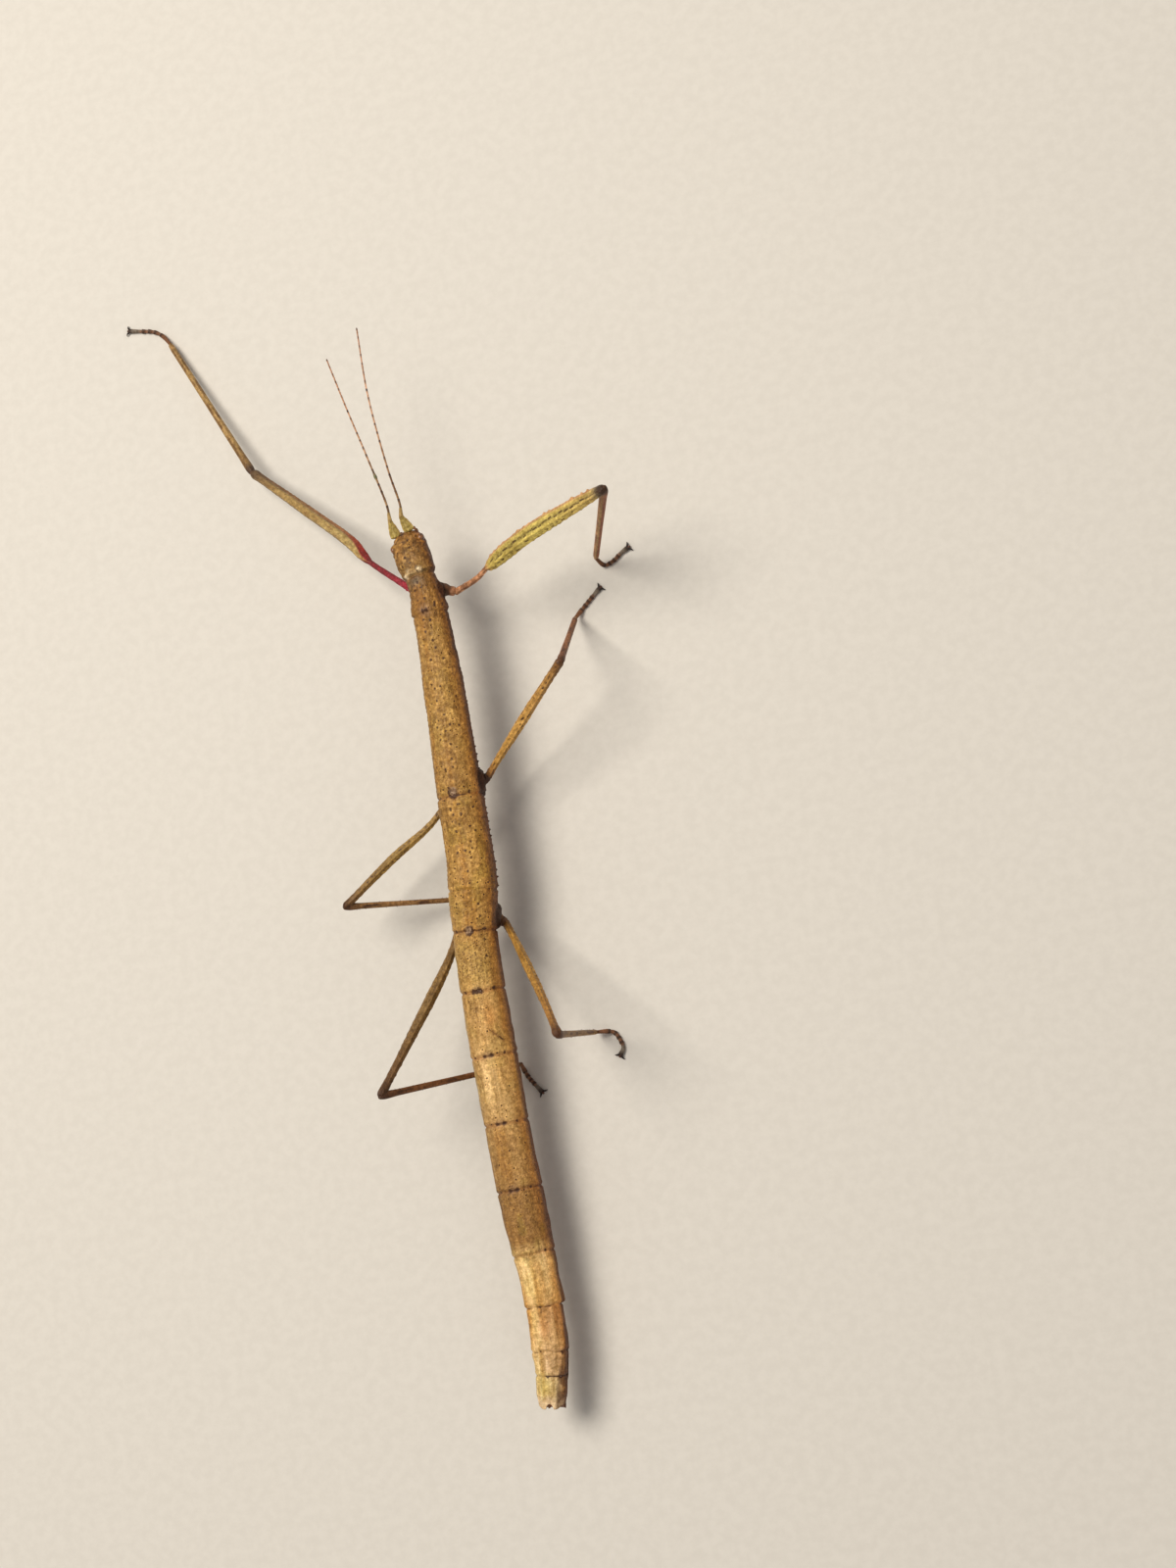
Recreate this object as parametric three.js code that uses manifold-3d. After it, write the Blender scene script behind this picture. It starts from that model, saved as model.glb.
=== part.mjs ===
// A New Zealand stick insect, an adult female, standing still on its six feet.
// Units are millimetres. +Z is up and the floor is z = 0. The head points to -Y and
// the insect's own left side is +X. The origin is on the floor, under the middle of
// the whole insect's box.

import * as THREE from "three";
import { mergeVertices } from "three/addons/utils/BufferGeometryUtils.js";
import Module from "manifold-3d";

const wasm = await Module();
wasm.setup();

// ---------------------------------------------------------------- driving sizes

const CUT = 0.12; // the thin cut between two neighbouring pieces
const TRUNK_SIDES = 18;
const SCOOP_SIDES = 12;
const FEMUR_SIDES = 12;
const SHIN_SIDES = 10;
const FINE_SIDES = 8;
const CLAW_SIDES = 5;
const SLIVER = 0.02; // slivers narrower than this are cleaned from a cut piece

// Middle line of head, thorax and abdomen, from the brow to the tail.
const middleLine = new THREE.CatmullRomCurve3(
  [
    [0.16, -46.75, 9.3],
    [-0.47, -43.9, 9.3],
    [-1.12, -40.0, 9.1],
    [-1.36, -34.0, 8.8],
    [-1.12, -18.0, 7.95],
    [-0.9, -9.5, 7.5],
    [-0.07, -2.5, 7.15],
    [0.03, 16.5, 6.13],
    [-0.16, 24.0, 5.75],
    [-0.68, 35.5, 5.14],
    [-0.5, 40.5, 4.88],
    [0.34, 46.6, 4.57],
  ].map((point) => new THREE.Vector3(...point)),
);

const HEAD_LENGTH = 5.2;
const EYE = { behindBrow: 1.4, aside: 1.62, above: 0.22, radii: [0.38, 0.52, 0.48] };
const SCAPE = { length: 1.9, width: 1.22, thick: 0.7, socket: 0.35, aside: 0.84, above: 0.42 };
const SCAPE_TIP = { left: 0.72, right: 0.6, above: 0.86 };
const FLAGELLUM_THICKNESS = 0.5;

// Radii of the lip, the jaws and the mouth's floor, and the way of each mouth feeler as
// distances behind the brow, aside and above.
const MOUTH = {
  sides: 7,
  lip: [0.62, 0.42, 0.55],
  jaw: [0.5, 0.62, 0.52],
  floor: [0.85, 0.75, 0.4],
  longFeeler: [[0.9, 0.8, -1.2], [0.0, 1.0, -1.65], [-0.8, 0.7, -1.75]],
  shortFeeler: [[1.2, 0.3, -1.35], [0.6, 0.42, -1.9], [-0.05, 0.35, -2.05]],
  feelerThick: 0.46,
};

// The head seen from above and from the side, as [distance behind the brow, size].
const HEAD_WIDTHS = [
  [0, 1.6], [0.45, 2.8], [1.2, 3.6], [2.4, 4.0], [3.4, 4.08], [4.6, 3.75], [5.2, 3.35],
];
const HEAD_HEIGHTS = [
  [0, 1.2], [0.45, 2.0], [1.2, 2.6], [2.4, 3.15], [3.6, 3.3], [4.6, 3.1], [5.2, 2.75],
];
const HEAD_LIFTS = [[0, -0.25], [1.2, -0.12], [3, 0]];

// The whips of the two feelers, each in one long easy curve.
const WHIPS = {
  left: [[1.2, -49.65, 10.3], [2.25, -55.1, 11.15], [3.45, -61.0, 12.2], [4.5, -66.4, 13.0]],
  right: [[-0.2, -49.4, 10.1], [0.5, -53.7, 10.25], [1.33, -62.2, 10.65], [1.3, -69.65, 11.0]],
};

// Each body ring: its length, its width at the front, the middle and the rear, its
// height as a share of its width, and how far it rides above the middle line.
const bodyRings = [
  { name: "prothorax", length: 4.2, widths: [3.3, 3.5, 4.1], tall: 0.86, lift: 0 },
  { name: "mesothorax", length: 19.75, widths: [3.85, 4.5, 4.95], tall: 0.87, lift: 0 },
  { name: "metathorax", length: 9.95, widths: [5.05, 5.1, 5.35], tall: 0.86, lift: 0 },
  { name: "median_segment", length: 4.35, widths: [5.3, 5.2, 4.9], tall: 0.86, lift: 0 },
  { name: "abdomen_2", length: 6.35, widths: [4.75, 4.8, 4.92], tall: 0.86, lift: 0 },
  { name: "abdomen_3", length: 6.8, widths: [4.9, 4.95, 5.0], tall: 0.86, lift: 0 },
  { name: "abdomen_4", length: 7.12, widths: [4.9, 4.85, 4.85], tall: 0.86, lift: 0 },
  { name: "abdomen_5", length: 6.98, widths: [4.8, 4.85, 4.9], tall: 0.86, lift: 0 },
  { name: "abdomen_6", length: 6.7, widths: [4.85, 4.85, 4.6], tall: 0.85, lift: 0 },
  { name: "abdomen_7", length: 5.47, widths: [4.45, 4.25, 4.4], tall: 0.84, lift: 0 },
  { name: "abdomen_8", length: 4.63, widths: [4.05, 4.0, 4.05], tall: 0.74, lift: 0.28 },
  { name: "abdomen_9", length: 2.5, widths: [3.85, 3.65, 3.55], tall: 0.72, lift: 0.38 },
  { name: "abdomen_10", length: 3.45, widths: [3.5, 3.4, 3.0], tall: 0.68, lift: 0.42 },
];

const TAIL_NOTCH = { width: 0.75, depth: 0.75 };
const SCOOP = {
  ahead: 0.9,
  length: 11.3,
  lip: 0.45,
  widths: [[0, 1.8], [1.5, 3.1], [4, 3.8], [8, 3.45], [10.2, 2.0], [11.3, 0.8]],
  depths: [[0, 1.5], [2, 1.8], [5, 1.85], [8.5, 1.5], [11.3, 0.4]],
};
const CERCUS = { length: 1.15, width: 0.62, thick: 0.5, aside: 0.62, ahead: 1.15, below: 0.72 };

// The legs, with each joint where it stands. A femur runs from hip to knee through
// its bends, a tibia from knee to ankle, and a tarsus from ankle over its toes.
// turn is how far the femur's flat side is turned about its own length, in degrees.
const legs = [
  {
    name: "fore_left", kind: "fore", rings: [0], root: [-0.3, -40.7, 8.3], turn: 62,
    hip: [1.35, -41.4, 7.55],
    bends: [[5.75, -45.55, 6.45], [7.45, -47.95, 5.92], [12.5, -53.05, 4.6]],
    knee: [18.87, -59.3, 3.0], ankle: [27.42, -77.1, 0.88],
    toes: [[28.5, -78.5, 0.24], [29.5, -79.2, 0.22], [31.0, -79.65, 0.22], [32.5, -80.05, 0.22]],
  },
  {
    name: "fore_right", kind: "fore", rings: [0], root: [-1.6, -40.5, 8.3], turn: 0,
    hip: [-3.95, -39.65, 7.3],
    bends: [[-7.1, -40.2, 8.9], [-8.73, -40.88, 9.86], [-14.43, -42.45, 12.95]],
    knee: [-24.88, -43.91, 18.3], ankle: [-18.2, -41.2, 1.5],
    toes: [[-18.75, -40.5, 0.28], [-19.7, -40.75, 0.22], [-20.7, -41.4, 0.22], [-21.6, -41.85, 0.22]],
  },
  {
    name: "mid_left", kind: "mid", rings: [1, 2], root: [-0.2, -18.8, 7.2], turn: 10,
    hip: [1.35, -17.5, 6.1], bends: [[3.4, -15.6, 6.45], [7.65, -13.0, 6.95]],
    knee: [13.7, -8.75, 7.65], ankle: [2.5, -7.9, 1.0],
    toes: [[1.7, -6.9, 0.26], [1.2, -5.9, 0.22], [0.8, -4.8, 0.22], [0.5, -3.6, 0.22]],
  },
  {
    name: "mid_right", kind: "mid", rings: [1, 2], root: [-1.7, -17.9, 7.1], turn: 10,
    hip: [-4.1, -19.6, 6.6], bends: [[-6.0, -21.2, 7.5], [-12.0, -26.05, 10.3]],
    knee: [-15.55, -28.85, 11.95], ankle: [-14.75, -35.4, 1.0],
    toes: [[-15.3, -36.2, 0.26], [-16.0, -36.8, 0.22], [-16.85, -37.5, 0.22], [-17.75, -38.2, 0.22]],
  },
  {
    name: "hind_left", kind: "hind", rings: [2, 3], root: [0.5, -5.3, 6.6], turn: 0,
    hip: [2.3, -4.6, 4.8], bends: [[3.45, -1.4, 6.2], [7.6, 6.5, 10.35]],
    knee: [10.6, 12.1, 13.6], ankle: [-0.85, 10.6, 1.1],
    toes: [[-0.85, 11.35, 0.26], [-1.2, 12.1, 0.22], [-1.75, 12.95, 0.22], [-2.4, 13.85, 0.22]],
  },
  {
    name: "hind_right", kind: "hind", rings: [2, 3], root: [-1.33, -5.85, 6.6], turn: 60,
    hip: [-3.0, -3.97, 5.25], bends: [[-3.9, -2.6, 6.6], [-8.65, 5.4, 14.25]],
    knee: [-10.85, 9.55, 18.2], ankle: [-9.55, 8.7, 1.0],
    toes: [[-11.3, 9.0, 0.26], [-11.85, 9.9, 0.22], [-12.05, 10.8, 0.22], [-11.6, 11.5, 0.22]],
  },
];

// Thickness along each kind of leg, as [share of the length, millimetres] pairs: the
// femur's wide and thin way, and the tibia's.
const limbSizes = {
  fore: {
    wide: [
      [0, 0.8], [0.1, 0.7], [0.225, 0.64], [0.25, 1.3], [0.285, 1.68], [0.36, 1.9],
      [0.6, 1.85], [0.79, 1.62], [0.91, 1.34], [0.97, 1.15], [1, 0.8],
    ],
    thin: [
      [0, 0.8], [0.1, 0.7], [0.22, 0.62], [0.36, 1.1], [0.6, 1.0], [0.91, 0.85],
      [0.97, 1.0], [1, 0.7],
    ],
    shin: [[0, 0.75], [0.05, 0.95], [0.15, 0.82], [0.6, 0.7], [0.94, 0.66], [1, 0.56]],
  },
  mid: {
    wide: [[0, 0.85], [0.1, 0.78], [0.5, 1.08], [0.9, 0.9], [0.97, 1.0], [1, 0.7]],
    thin: [[0, 0.8], [0.1, 0.72], [0.5, 0.95], [0.9, 0.82], [0.97, 0.95], [1, 0.65]],
    shin: [[0, 0.7], [0.06, 0.88], [0.16, 0.74], [0.6, 0.64], [0.94, 0.62], [1, 0.54]],
  },
  hind: {
    wide: [[0, 1.0], [0.1, 0.88], [0.4, 1.25], [0.9, 0.92], [0.97, 1.05], [1, 0.75]],
    thin: [[0, 0.9], [0.1, 0.78], [0.4, 0.98], [0.9, 0.82], [0.97, 0.98], [1, 0.7]],
    shin: [[0, 0.72], [0.05, 0.92], [0.15, 0.78], [0.6, 0.7], [0.94, 0.64], [1, 0.55]],
  },
};
// The hip stub's thickness from the trunk out to its knob, the trochanter.
const COXA_SIZES = [[0, 1.75], [0.55, 1.45], [0.8, 1.0], [0.9, 1.08], [1, 0.85]];
const RIDGE = 0.07; // how far the femur's six long ridges stand out, as a share
const TARSUS = { neck: 0.42, bead: 0.54, joints: [0.36, 0.5, 0.62, 0.74, 1] };
const CLAW = { length: 0.62, thick: 0.32, bend: 0.38, spread: 0.62, high: 0.3, low: 0.16 };

const colour = {
  bark: 0xa8854a,
  paleBark: 0xbf9c62,
  olive: 0xa39a55,
  crimson: 0x9c1f33,
  shin: 0x8a6238,
  foot: 0x4a3524,
  eye: 0x5a4030,
  mouth: 0x7a5a34,
};

// ---------------------------------------------------------------- making shapes

const UP = new THREE.Vector3(0, 0, 1);
const vector = (point) => new THREE.Vector3(...point);
const sides = [["left", 1], ["right", -1]];

const finish = (hex, roughness = 0.7) =>
  new THREE.MeshStandardMaterial({ color: hex, roughness, metalness: 0 });

// A size that runs smoothly through [place, size] pairs.
const through = (pairs) => (place) => {
  if (place <= pairs[0][0]) return pairs[0][1];
  const next = pairs.findIndex(([at]) => at >= place);
  if (next < 0) return pairs.at(-1)[1];
  const [a, sizeA] = pairs[next - 1];
  const [b, sizeB] = pairs[next];
  return THREE.MathUtils.lerp(sizeA, sizeB, THREE.MathUtils.smoothstep(place, a, b));
};

const evenly = (count, from = 0, to = 1) =>
  Array.from({ length: count + 1 }, (_, i) => THREE.MathUtils.lerp(from, to, i / count));

// The middle of a path at a place, with the side and up ways square to the path.
const frameAt = (path, place, lean) => {
  const along = path.getTangentAt(place);
  const side = new THREE.Vector3().crossVectors(along, lean).normalize();
  const up = new THREE.Vector3().crossVectors(side, along);
  return { centre: path.getPointAt(place), side, up };
};

// A closed tube of varying section: a lathe of unit radius with one ring for each
// place, and each ring laid square to the path. section(place, angle) gives a point of
// the ring as [to the side, upwards], with the angle counted from the top, and
// section(place) alone gives the ring's middle.
const tube = (path, places, sides, section, lean = UP) => {
  const last = places.length - 1;
  const rim = places.map((_, ring) => new THREE.Vector2(1, ring));
  const profile = [new THREE.Vector2(0, 0), ...rim, new THREE.Vector2(0, last)];
  const geometry = new THREE.LatheGeometry(profile, sides);
  const frames = places.map((place) => frameAt(path, place, lean));
  const position = geometry.getAttribute("position");
  const point = new THREE.Vector3();
  for (let i = 0; i < position.count; i += 1) {
    const ring = Math.round(position.getY(i));
    const onRim = Math.hypot(position.getX(i), position.getZ(i)) > 0.5;
    const angle = onRim ? Math.atan2(position.getX(i), position.getZ(i)) : undefined;
    const [across, rise] = section(places[ring], angle);
    const { centre, side, up } = frames[ring];
    point.copy(centre).addScaledVector(side, across).addScaledVector(up, rise);
    position.setXYZ(i, point.x, point.y, point.z);
  }
  return geometry;
};

// The section of a plain oval limb, wide across and high upwards.
const oval = (wide, high) => (place, angle) =>
  angle === undefined
    ? [0, 0]
    : [(wide(place) / 2) * Math.sin(angle), (high(place) / 2) * Math.cos(angle)];

const ball = (centre, radii, turn = 0, sides = 10) => {
  const geometry = new THREE.SphereGeometry(1, sides, Math.round(sides * 0.7));
  geometry.scale(...radii);
  geometry.rotateZ(turn);
  geometry.translate(centre.x, centre.y, centre.z);
  return geometry;
};

const toSolid = (geometry) => {
  const bare = geometry.clone();
  bare.deleteAttribute("normal");
  bare.deleteAttribute("uv");
  const merged = mergeVertices(bare, 1e-4);
  const vertProperties = merged.getAttribute("position").array;
  const triVerts = new Uint32Array(merged.index.array);
  return new wasm.Manifold(new wasm.Mesh({ numProp: 3, vertProperties, triVerts }));
};

const toGeometry = (solid) => {
  const { vertProperties, triVerts } = solid.getMesh();
  const geometry = new THREE.BufferGeometry();
  geometry.setAttribute("position", new THREE.BufferAttribute(vertProperties, 3));
  geometry.setIndex(new THREE.BufferAttribute(triVerts, 1));
  return geometry;
};

const join = (...geometries) =>
  toGeometry(geometries.map(toSolid).reduce((whole, piece) => whole.add(piece)));

const cut = (geometry, ...tools) => {
  const rest = tools.map(toSolid).reduce((left, tool) => left.subtract(tool), toSolid(geometry));
  return toGeometry(rest.simplify(SLIVER));
};

const insect = new THREE.Group();
insect.name = "stick_insect";

// Adds a piece to a group as its own named mesh, standing at its own root.
const addPiece = (group, name, geometry, root, material) => {
  const mesh = new THREE.Mesh(geometry.translate(-root.x, -root.y, -root.z), material);
  mesh.name = name;
  mesh.position.copy(root);
  mesh.geometry.computeVertexNormals();
  group.add(mesh);
};

const addGroup = () => {
  const group = new THREE.Group();
  insect.add(group);
  return group;
};

// ---------------------------------------------------------------- trunk

const trunk = addGroup();
const trunkLength = middleLine.getLength();
const placeOf = (distance) => distance / trunkLength;
const rootAt = (distance) => middleLine.getPointAt(placeOf(distance));

// The trunk's section: a round back with a low keel, and a flatter belly.
const trunkSection = (width, height, lift, angle) => {
  if (angle === undefined) return [0, lift];
  const squareness = 2.15;
  const across = Math.sin(angle);
  const rise = Math.cos(angle);
  const corner = Math.abs(across) ** squareness + Math.abs(rise) ** squareness;
  const reach = corner ** (-1 / squareness);
  const belly = rise < 0 ? 0.92 : 1;
  const keel = 0.05 * Math.max(0, rise) ** 24;
  return [(width / 2) * across * reach, (height / 2) * rise * reach * belly + keel + lift];
};

// One body ring, which starts at a distance behind the brow. grow makes it larger all
// round, to cut away what it has to stay clear of.
const bodyRing = ({ length, widths, tall, lift }, start, grow = 0) => {
  const widthAt = through([
    [0, widths[0] * 0.97],
    [0.4, widths[0]],
    [length * 0.5, widths[1]],
    [length - 0.5, widths[2]],
    [length, widths[2] * 0.98],
  ]);
  const from = start + CUT / 2 - grow;
  const to = start + length - CUT / 2 + grow;
  const spans = Math.max(2, Math.round((length - 0.9) / 3.2));
  const distances = [from, ...evenly(spans, start + 0.4, start + length - 0.5), to];
  return tube(middleLine, distances.map(placeOf), TRUNK_SIDES, (place, angle) => {
    const width = widthAt(place * trunkLength - start) + 2 * grow;
    return trunkSection(width, width * tall, lift, angle);
  });
};

let ringStart = HEAD_LENGTH;
for (const ring of bodyRings) {
  ring.start = ringStart;
  ringStart += ring.length;
}
const lastRing = bodyRings.at(-1);
const tailEnd = rootAt(ringStart);

// The last plate ends in two round lobes with a notch between them.
const notch = new THREE.CylinderGeometry(0.5, 0.5, 4, 10);
notch.rotateX(Math.PI / 2);
notch.scale(TAIL_NOTCH.width, 2 * TAIL_NOTCH.depth, 1);
notch.translate(tailEnd.x, tailEnd.y, tailEnd.z + 0.5);

for (const ring of bodyRings) {
  const whole = bodyRing(ring, ring.start);
  const geometry = ring === lastRing ? cut(whole, notch) : whole;
  const hex = ring.name.startsWith("abdomen") ? colour.paleBark : colour.bark;
  addPiece(trunk, ring.name, geometry, rootAt(ring.start), finish(hex));
}

// The egg scoop: a keeled boat that fits beneath the last three rings.
const scoopStart = bodyRings[10].start - SCOOP.ahead;
const scoopWidth = through(SCOOP.widths);
const scoopDepth = through(SCOOP.depths);
const scoopDistances = [0, 1.2, 2.6, 4.2, 6, 7.6, 9, 10.2, SCOOP.length];
const scoopHull = tube(
  middleLine,
  scoopDistances.map((distance) => placeOf(scoopStart + distance)),
  SCOOP_SIDES,
  (place, angle) => {
    const distance = place * trunkLength - scoopStart;
    if (angle === undefined) return [0, 0];
    const rise = Math.cos(angle);
    const keel = rise < 0 ? 0.12 * (-rise) ** 16 : 0;
    const depth = rise < 0 ? scoopDepth(distance) : SCOOP.lip;
    return [(scoopWidth(distance) / 2) * Math.sin(angle), depth * rise - keel];
  },
);
const scoopTools = bodyRings.slice(9).map((ring) => bodyRing(ring, ring.start, CUT));
const scoop = cut(scoopHull, ...scoopTools);
addPiece(trunk, "egg_scoop", scoop, rootAt(scoopStart), finish(colour.bark));

// Two short tail feelers, under the lobes of the last plate.
for (const [name, sign] of sides) {
  const offset = new THREE.Vector3(sign * CERCUS.aside, -CERCUS.ahead, -CERCUS.below);
  const from = tailEnd.clone().add(offset);
  const to = from.clone().add(new THREE.Vector3(sign * 0.05, CERCUS.length, 0.12));
  const taper = through([[0, 1], [0.6, 0.95], [0.9, 0.6], [1, 0.3]]);
  const wide = (place) => CERCUS.width * taper(place);
  const high = (place) => CERCUS.thick * taper(place);
  const line = new THREE.LineCurve3(from, to);
  const cercus = tube(line, [0, 0.3, 0.6, 0.85, 1], FINE_SIDES, oval(wide, high));
  const clear = cut(cercus, bodyRing(lastRing, lastRing.start, CUT), scoopHull);
  addPiece(trunk, `cercus_${name}`, clear, from, finish(colour.paleBark));
}

// ---------------------------------------------------------------- head

const head = addGroup();
const headWidth = through(HEAD_WIDTHS);
const headHeight = through(HEAD_HEIGHTS);
const headLift = through(HEAD_LIFTS);

const headHull = (grow = 0) => {
  const distances = [-grow, 0.2, 0.45, 0.8, 1.2, 1.75, 2.4, 3.4, 4.1, 4.7, HEAD_LENGTH - CUT / 2];
  return tube(
    middleLine,
    distances.map((distance) => placeOf(Math.max(0, distance))),
    TRUNK_SIDES + 2,
    (place, angle) => {
      const distance = place * trunkLength;
      const width = headWidth(distance) + 2 * grow;
      return trunkSection(width, headHeight(distance) + 2 * grow, headLift(distance), angle);
    },
  );
};

// A point on or in the head, from its distance behind the brow, to the insect's left
// and upwards.
const headPoint = (behindBrow, aside, above) => {
  const { centre, side, up } = frameAt(middleLine, placeOf(Math.max(0, behindBrow)), UP);
  const ahead = middleLine.getTangentAt(0).multiplyScalar(Math.min(0, behindBrow));
  return centre.addScaledVector(side, aside).addScaledVector(up, above).add(ahead);
};

const eyeAt = (sign, grow = 0) =>
  ball(
    headPoint(EYE.behindBrow, sign * EYE.aside, EYE.above),
    EYE.radii.map((radius) => radius + grow),
    sign * 0.3 + 0.15,
  );

// A feeler's flat base joint, from its socket beside the brow.
const scapeFoot = (sign) => headPoint(SCAPE.socket, sign * SCAPE.aside, SCAPE.above);
const scapeTip = (name, sign) =>
  headPoint(SCAPE.socket - SCAPE.length, sign * SCAPE_TIP[name], SCAPE_TIP.above);

const scapeOf = (name, sign, grow = 0) => {
  const width = through([[0, 0.75], [0.12, 1], [0.3, 1], [0.6, 0.8], [0.9, 0.5], [1, 0.42]]);
  const section = oval(
    (place) => SCAPE.width * width(place) + 2 * grow,
    (place) => SCAPE.thick * Math.max(0.75, width(place)) + 2 * grow,
  );
  const line = new THREE.LineCurve3(scapeFoot(sign), scapeTip(name, sign));
  return tube(line, [0, 0.12, 0.3, 0.55, 0.8, 1], FINE_SIDES + 2, section);
};

const sockets = sides.flatMap(([name, sign]) => [
  eyeAt(sign, CUT / 2),
  scapeOf(name, sign, CUT / 2),
]);
addPiece(head, "head", cut(headHull(), ...sockets), rootAt(HEAD_LENGTH), finish(colour.bark));

for (const [name, sign] of sides) {
  const eyeRoot = headPoint(EYE.behindBrow, sign * EYE.aside, EYE.above);
  const scape = scapeOf(name, sign);
  const start = scapeTip(name, sign);
  const line = new THREE.CatmullRomCurve3([start, ...WHIPS[name].map(vector)]);
  const thick = () => FLAGELLUM_THICKNESS;
  const clear = CUT / line.getLength();
  const whip = tube(line, evenly(9, clear, 1), FINE_SIDES, oval(thick, thick));
  addPiece(head, `eye_${name}`, eyeAt(sign), eyeRoot, finish(colour.eye, 0.3));
  addPiece(head, `scape_${name}`, scape, scapeFoot(sign), finish(colour.olive));
  addPiece(head, `antenna_${name}`, whip, start, finish(colour.shin));
}

// Lip, jaws and four short mouth feelers, joined below the brow and cut to the head.
const mouthFeeler = (places, sign, thick) => {
  const points = places.map(([behind, aside, above]) => headPoint(behind, sign * aside, above));
  const line = new THREE.CatmullRomCurve3(points);
  const size = through([[0, thick], [0.75, thick], [1, thick * 0.6]]);
  return tube(line, evenly(2), FINE_SIDES - 2, oval(size, size));
};
const mouthBall = (behind, aside, above, radii) =>
  ball(headPoint(behind, aside, above), radii, 0, MOUTH.sides);
const mouth = join(
  mouthBall(0.25, 0, -0.8, MOUTH.lip),
  mouthBall(0.95, 0, -1.2, MOUTH.floor),
  ...sides.flatMap(([, sign]) => [
    mouthBall(0.65, sign * 0.62, -0.95, MOUTH.jaw),
    mouthFeeler(MOUTH.longFeeler, sign, MOUTH.feelerThick),
    mouthFeeler(MOUTH.shortFeeler, sign, MOUTH.feelerThick),
  ]),
);
const mouthClear = cut(mouth, headHull(CUT));
addPiece(head, "mouthparts", mouthClear, headPoint(0.6, 0, -1), finish(colour.mouth));

// ---------------------------------------------------------------- legs

const floorBlock = new THREE.BoxGeometry(200, 200, 10);
floorBlock.translate(0, 0, -5);

// The way that a limb's thin side faces: upwards, turned about the limb's own length.
const leanOf = (from, to, degrees) => {
  const along = to.clone().sub(from).normalize();
  const level = new THREE.Vector3().crossVectors(along, UP).normalize();
  const square = new THREE.Vector3().crossVectors(level, along);
  return square.applyAxisAngle(along, THREE.MathUtils.degToRad(degrees));
};

// The hip stub, which runs out of the side of the thorax: the coxa with its small
// trochanter.
const coxaOf = (leg, grow = 0) => {
  const line = new THREE.LineCurve3(vector(leg.root), vector(leg.hip));
  const size = through(COXA_SIZES);
  const thick = (place) => size(place) + 2 * grow;
  return tube(line, COXA_SIZES.map(([place]) => place), SHIN_SIDES, oval(thick, thick));
};

// What a hip stub is cut to: the thorax around it and, for a fore leg, the head's rear.
const bodyAround = (leg) => {
  const rings = leg.rings.map((i) => bodyRing(bodyRings[i], bodyRings[i].start, CUT));
  return leg.kind === "fore" ? [...rings, headHull(CUT)] : rings;
};

const femurOf = (leg, grow = 0) => {
  const line = new THREE.CatmullRomCurve3([leg.hip, ...leg.bends, leg.knee].map(vector));
  const { wide, thin } = limbSizes[leg.kind];
  const wideAt = through(wide);
  const thinAt = through(thin);
  const places = [CUT / line.getLength(), ...wide.slice(1, -1).map(([place]) => place), 1];
  const filled = places.flatMap((place, i) => {
    const gap = (places[i + 1] ?? place) - place;
    return gap > 0.2 ? [place, place + gap / 2] : [place];
  });
  const section = (place, angle) => {
    if (angle === undefined) return [0, 0];
    const ridge = 1 + RIDGE * Math.cos(6 * angle);
    const across = ((wideAt(place) / 2) * ridge + grow) * Math.sin(angle);
    return [across, ((thinAt(place) / 2) * ridge + grow) * Math.cos(angle)];
  };
  const lean = leanOf(vector(leg.hip), vector(leg.knee), leg.turn);
  return tube(line, filled, FEMUR_SIDES, section, lean);
};

const shinLine = (leg) => new THREE.LineCurve3(vector(leg.knee), vector(leg.ankle));

const tibiaOf = (leg, grow = 0) => {
  const { shin } = limbSizes[leg.kind];
  const size = through(shin);
  const thick = (place) => size(place) + 2 * grow;
  const places = [...shin.map(([place]) => place), 0.38, 0.8].sort((a, b) => a - b);
  const lean = leanOf(vector(leg.knee), vector(leg.ankle), leg.turn);
  return tube(shinLine(leg), places, SHIN_SIDES, oval(thick, thick), lean);
};

// Five small foot joints, each widest at its far end, then two claws.
const tarsusOf = (leg) => {
  const line = new THREE.CatmullRomCurve3([leg.ankle, ...leg.toes].map(vector));
  const starts = [0, ...TARSUS.joints.slice(0, -1)];
  const pairs = TARSUS.joints.flatMap((end, i) => [
    [starts[i] + 0.02, TARSUS.neck],
    [end - 0.02, TARSUS.bead],
  ]);
  const size = through(pairs);
  const foot = tube(line, pairs.map(([place]) => place), FINE_SIDES, oval(size, size));
  const tip = line.getPointAt(0.97);
  const ahead = line.getTangentAt(1).setZ(0).normalize();
  const aside = new THREE.Vector3().crossVectors(ahead, UP);
  const claws = [-1, 1].map((sign) => {
    const bend = tip.clone().addScaledVector(ahead, CLAW.length * 0.5);
    bend.addScaledVector(aside, sign * CLAW.bend).setZ(CLAW.high);
    const point = tip.clone().addScaledVector(ahead, CLAW.length * 0.55);
    point.addScaledVector(aside, sign * CLAW.spread).setZ(CLAW.low);
    const claw = new THREE.CatmullRomCurve3([tip, bend, point]);
    const taper = through([[0, CLAW.thick], [0.6, CLAW.thick], [1, CLAW.thick * 0.6]]);
    return tube(claw, evenly(2), CLAW_SIDES, oval(taper, taper));
  });
  return cut(join(foot, ...claws), floorBlock);
};

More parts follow.
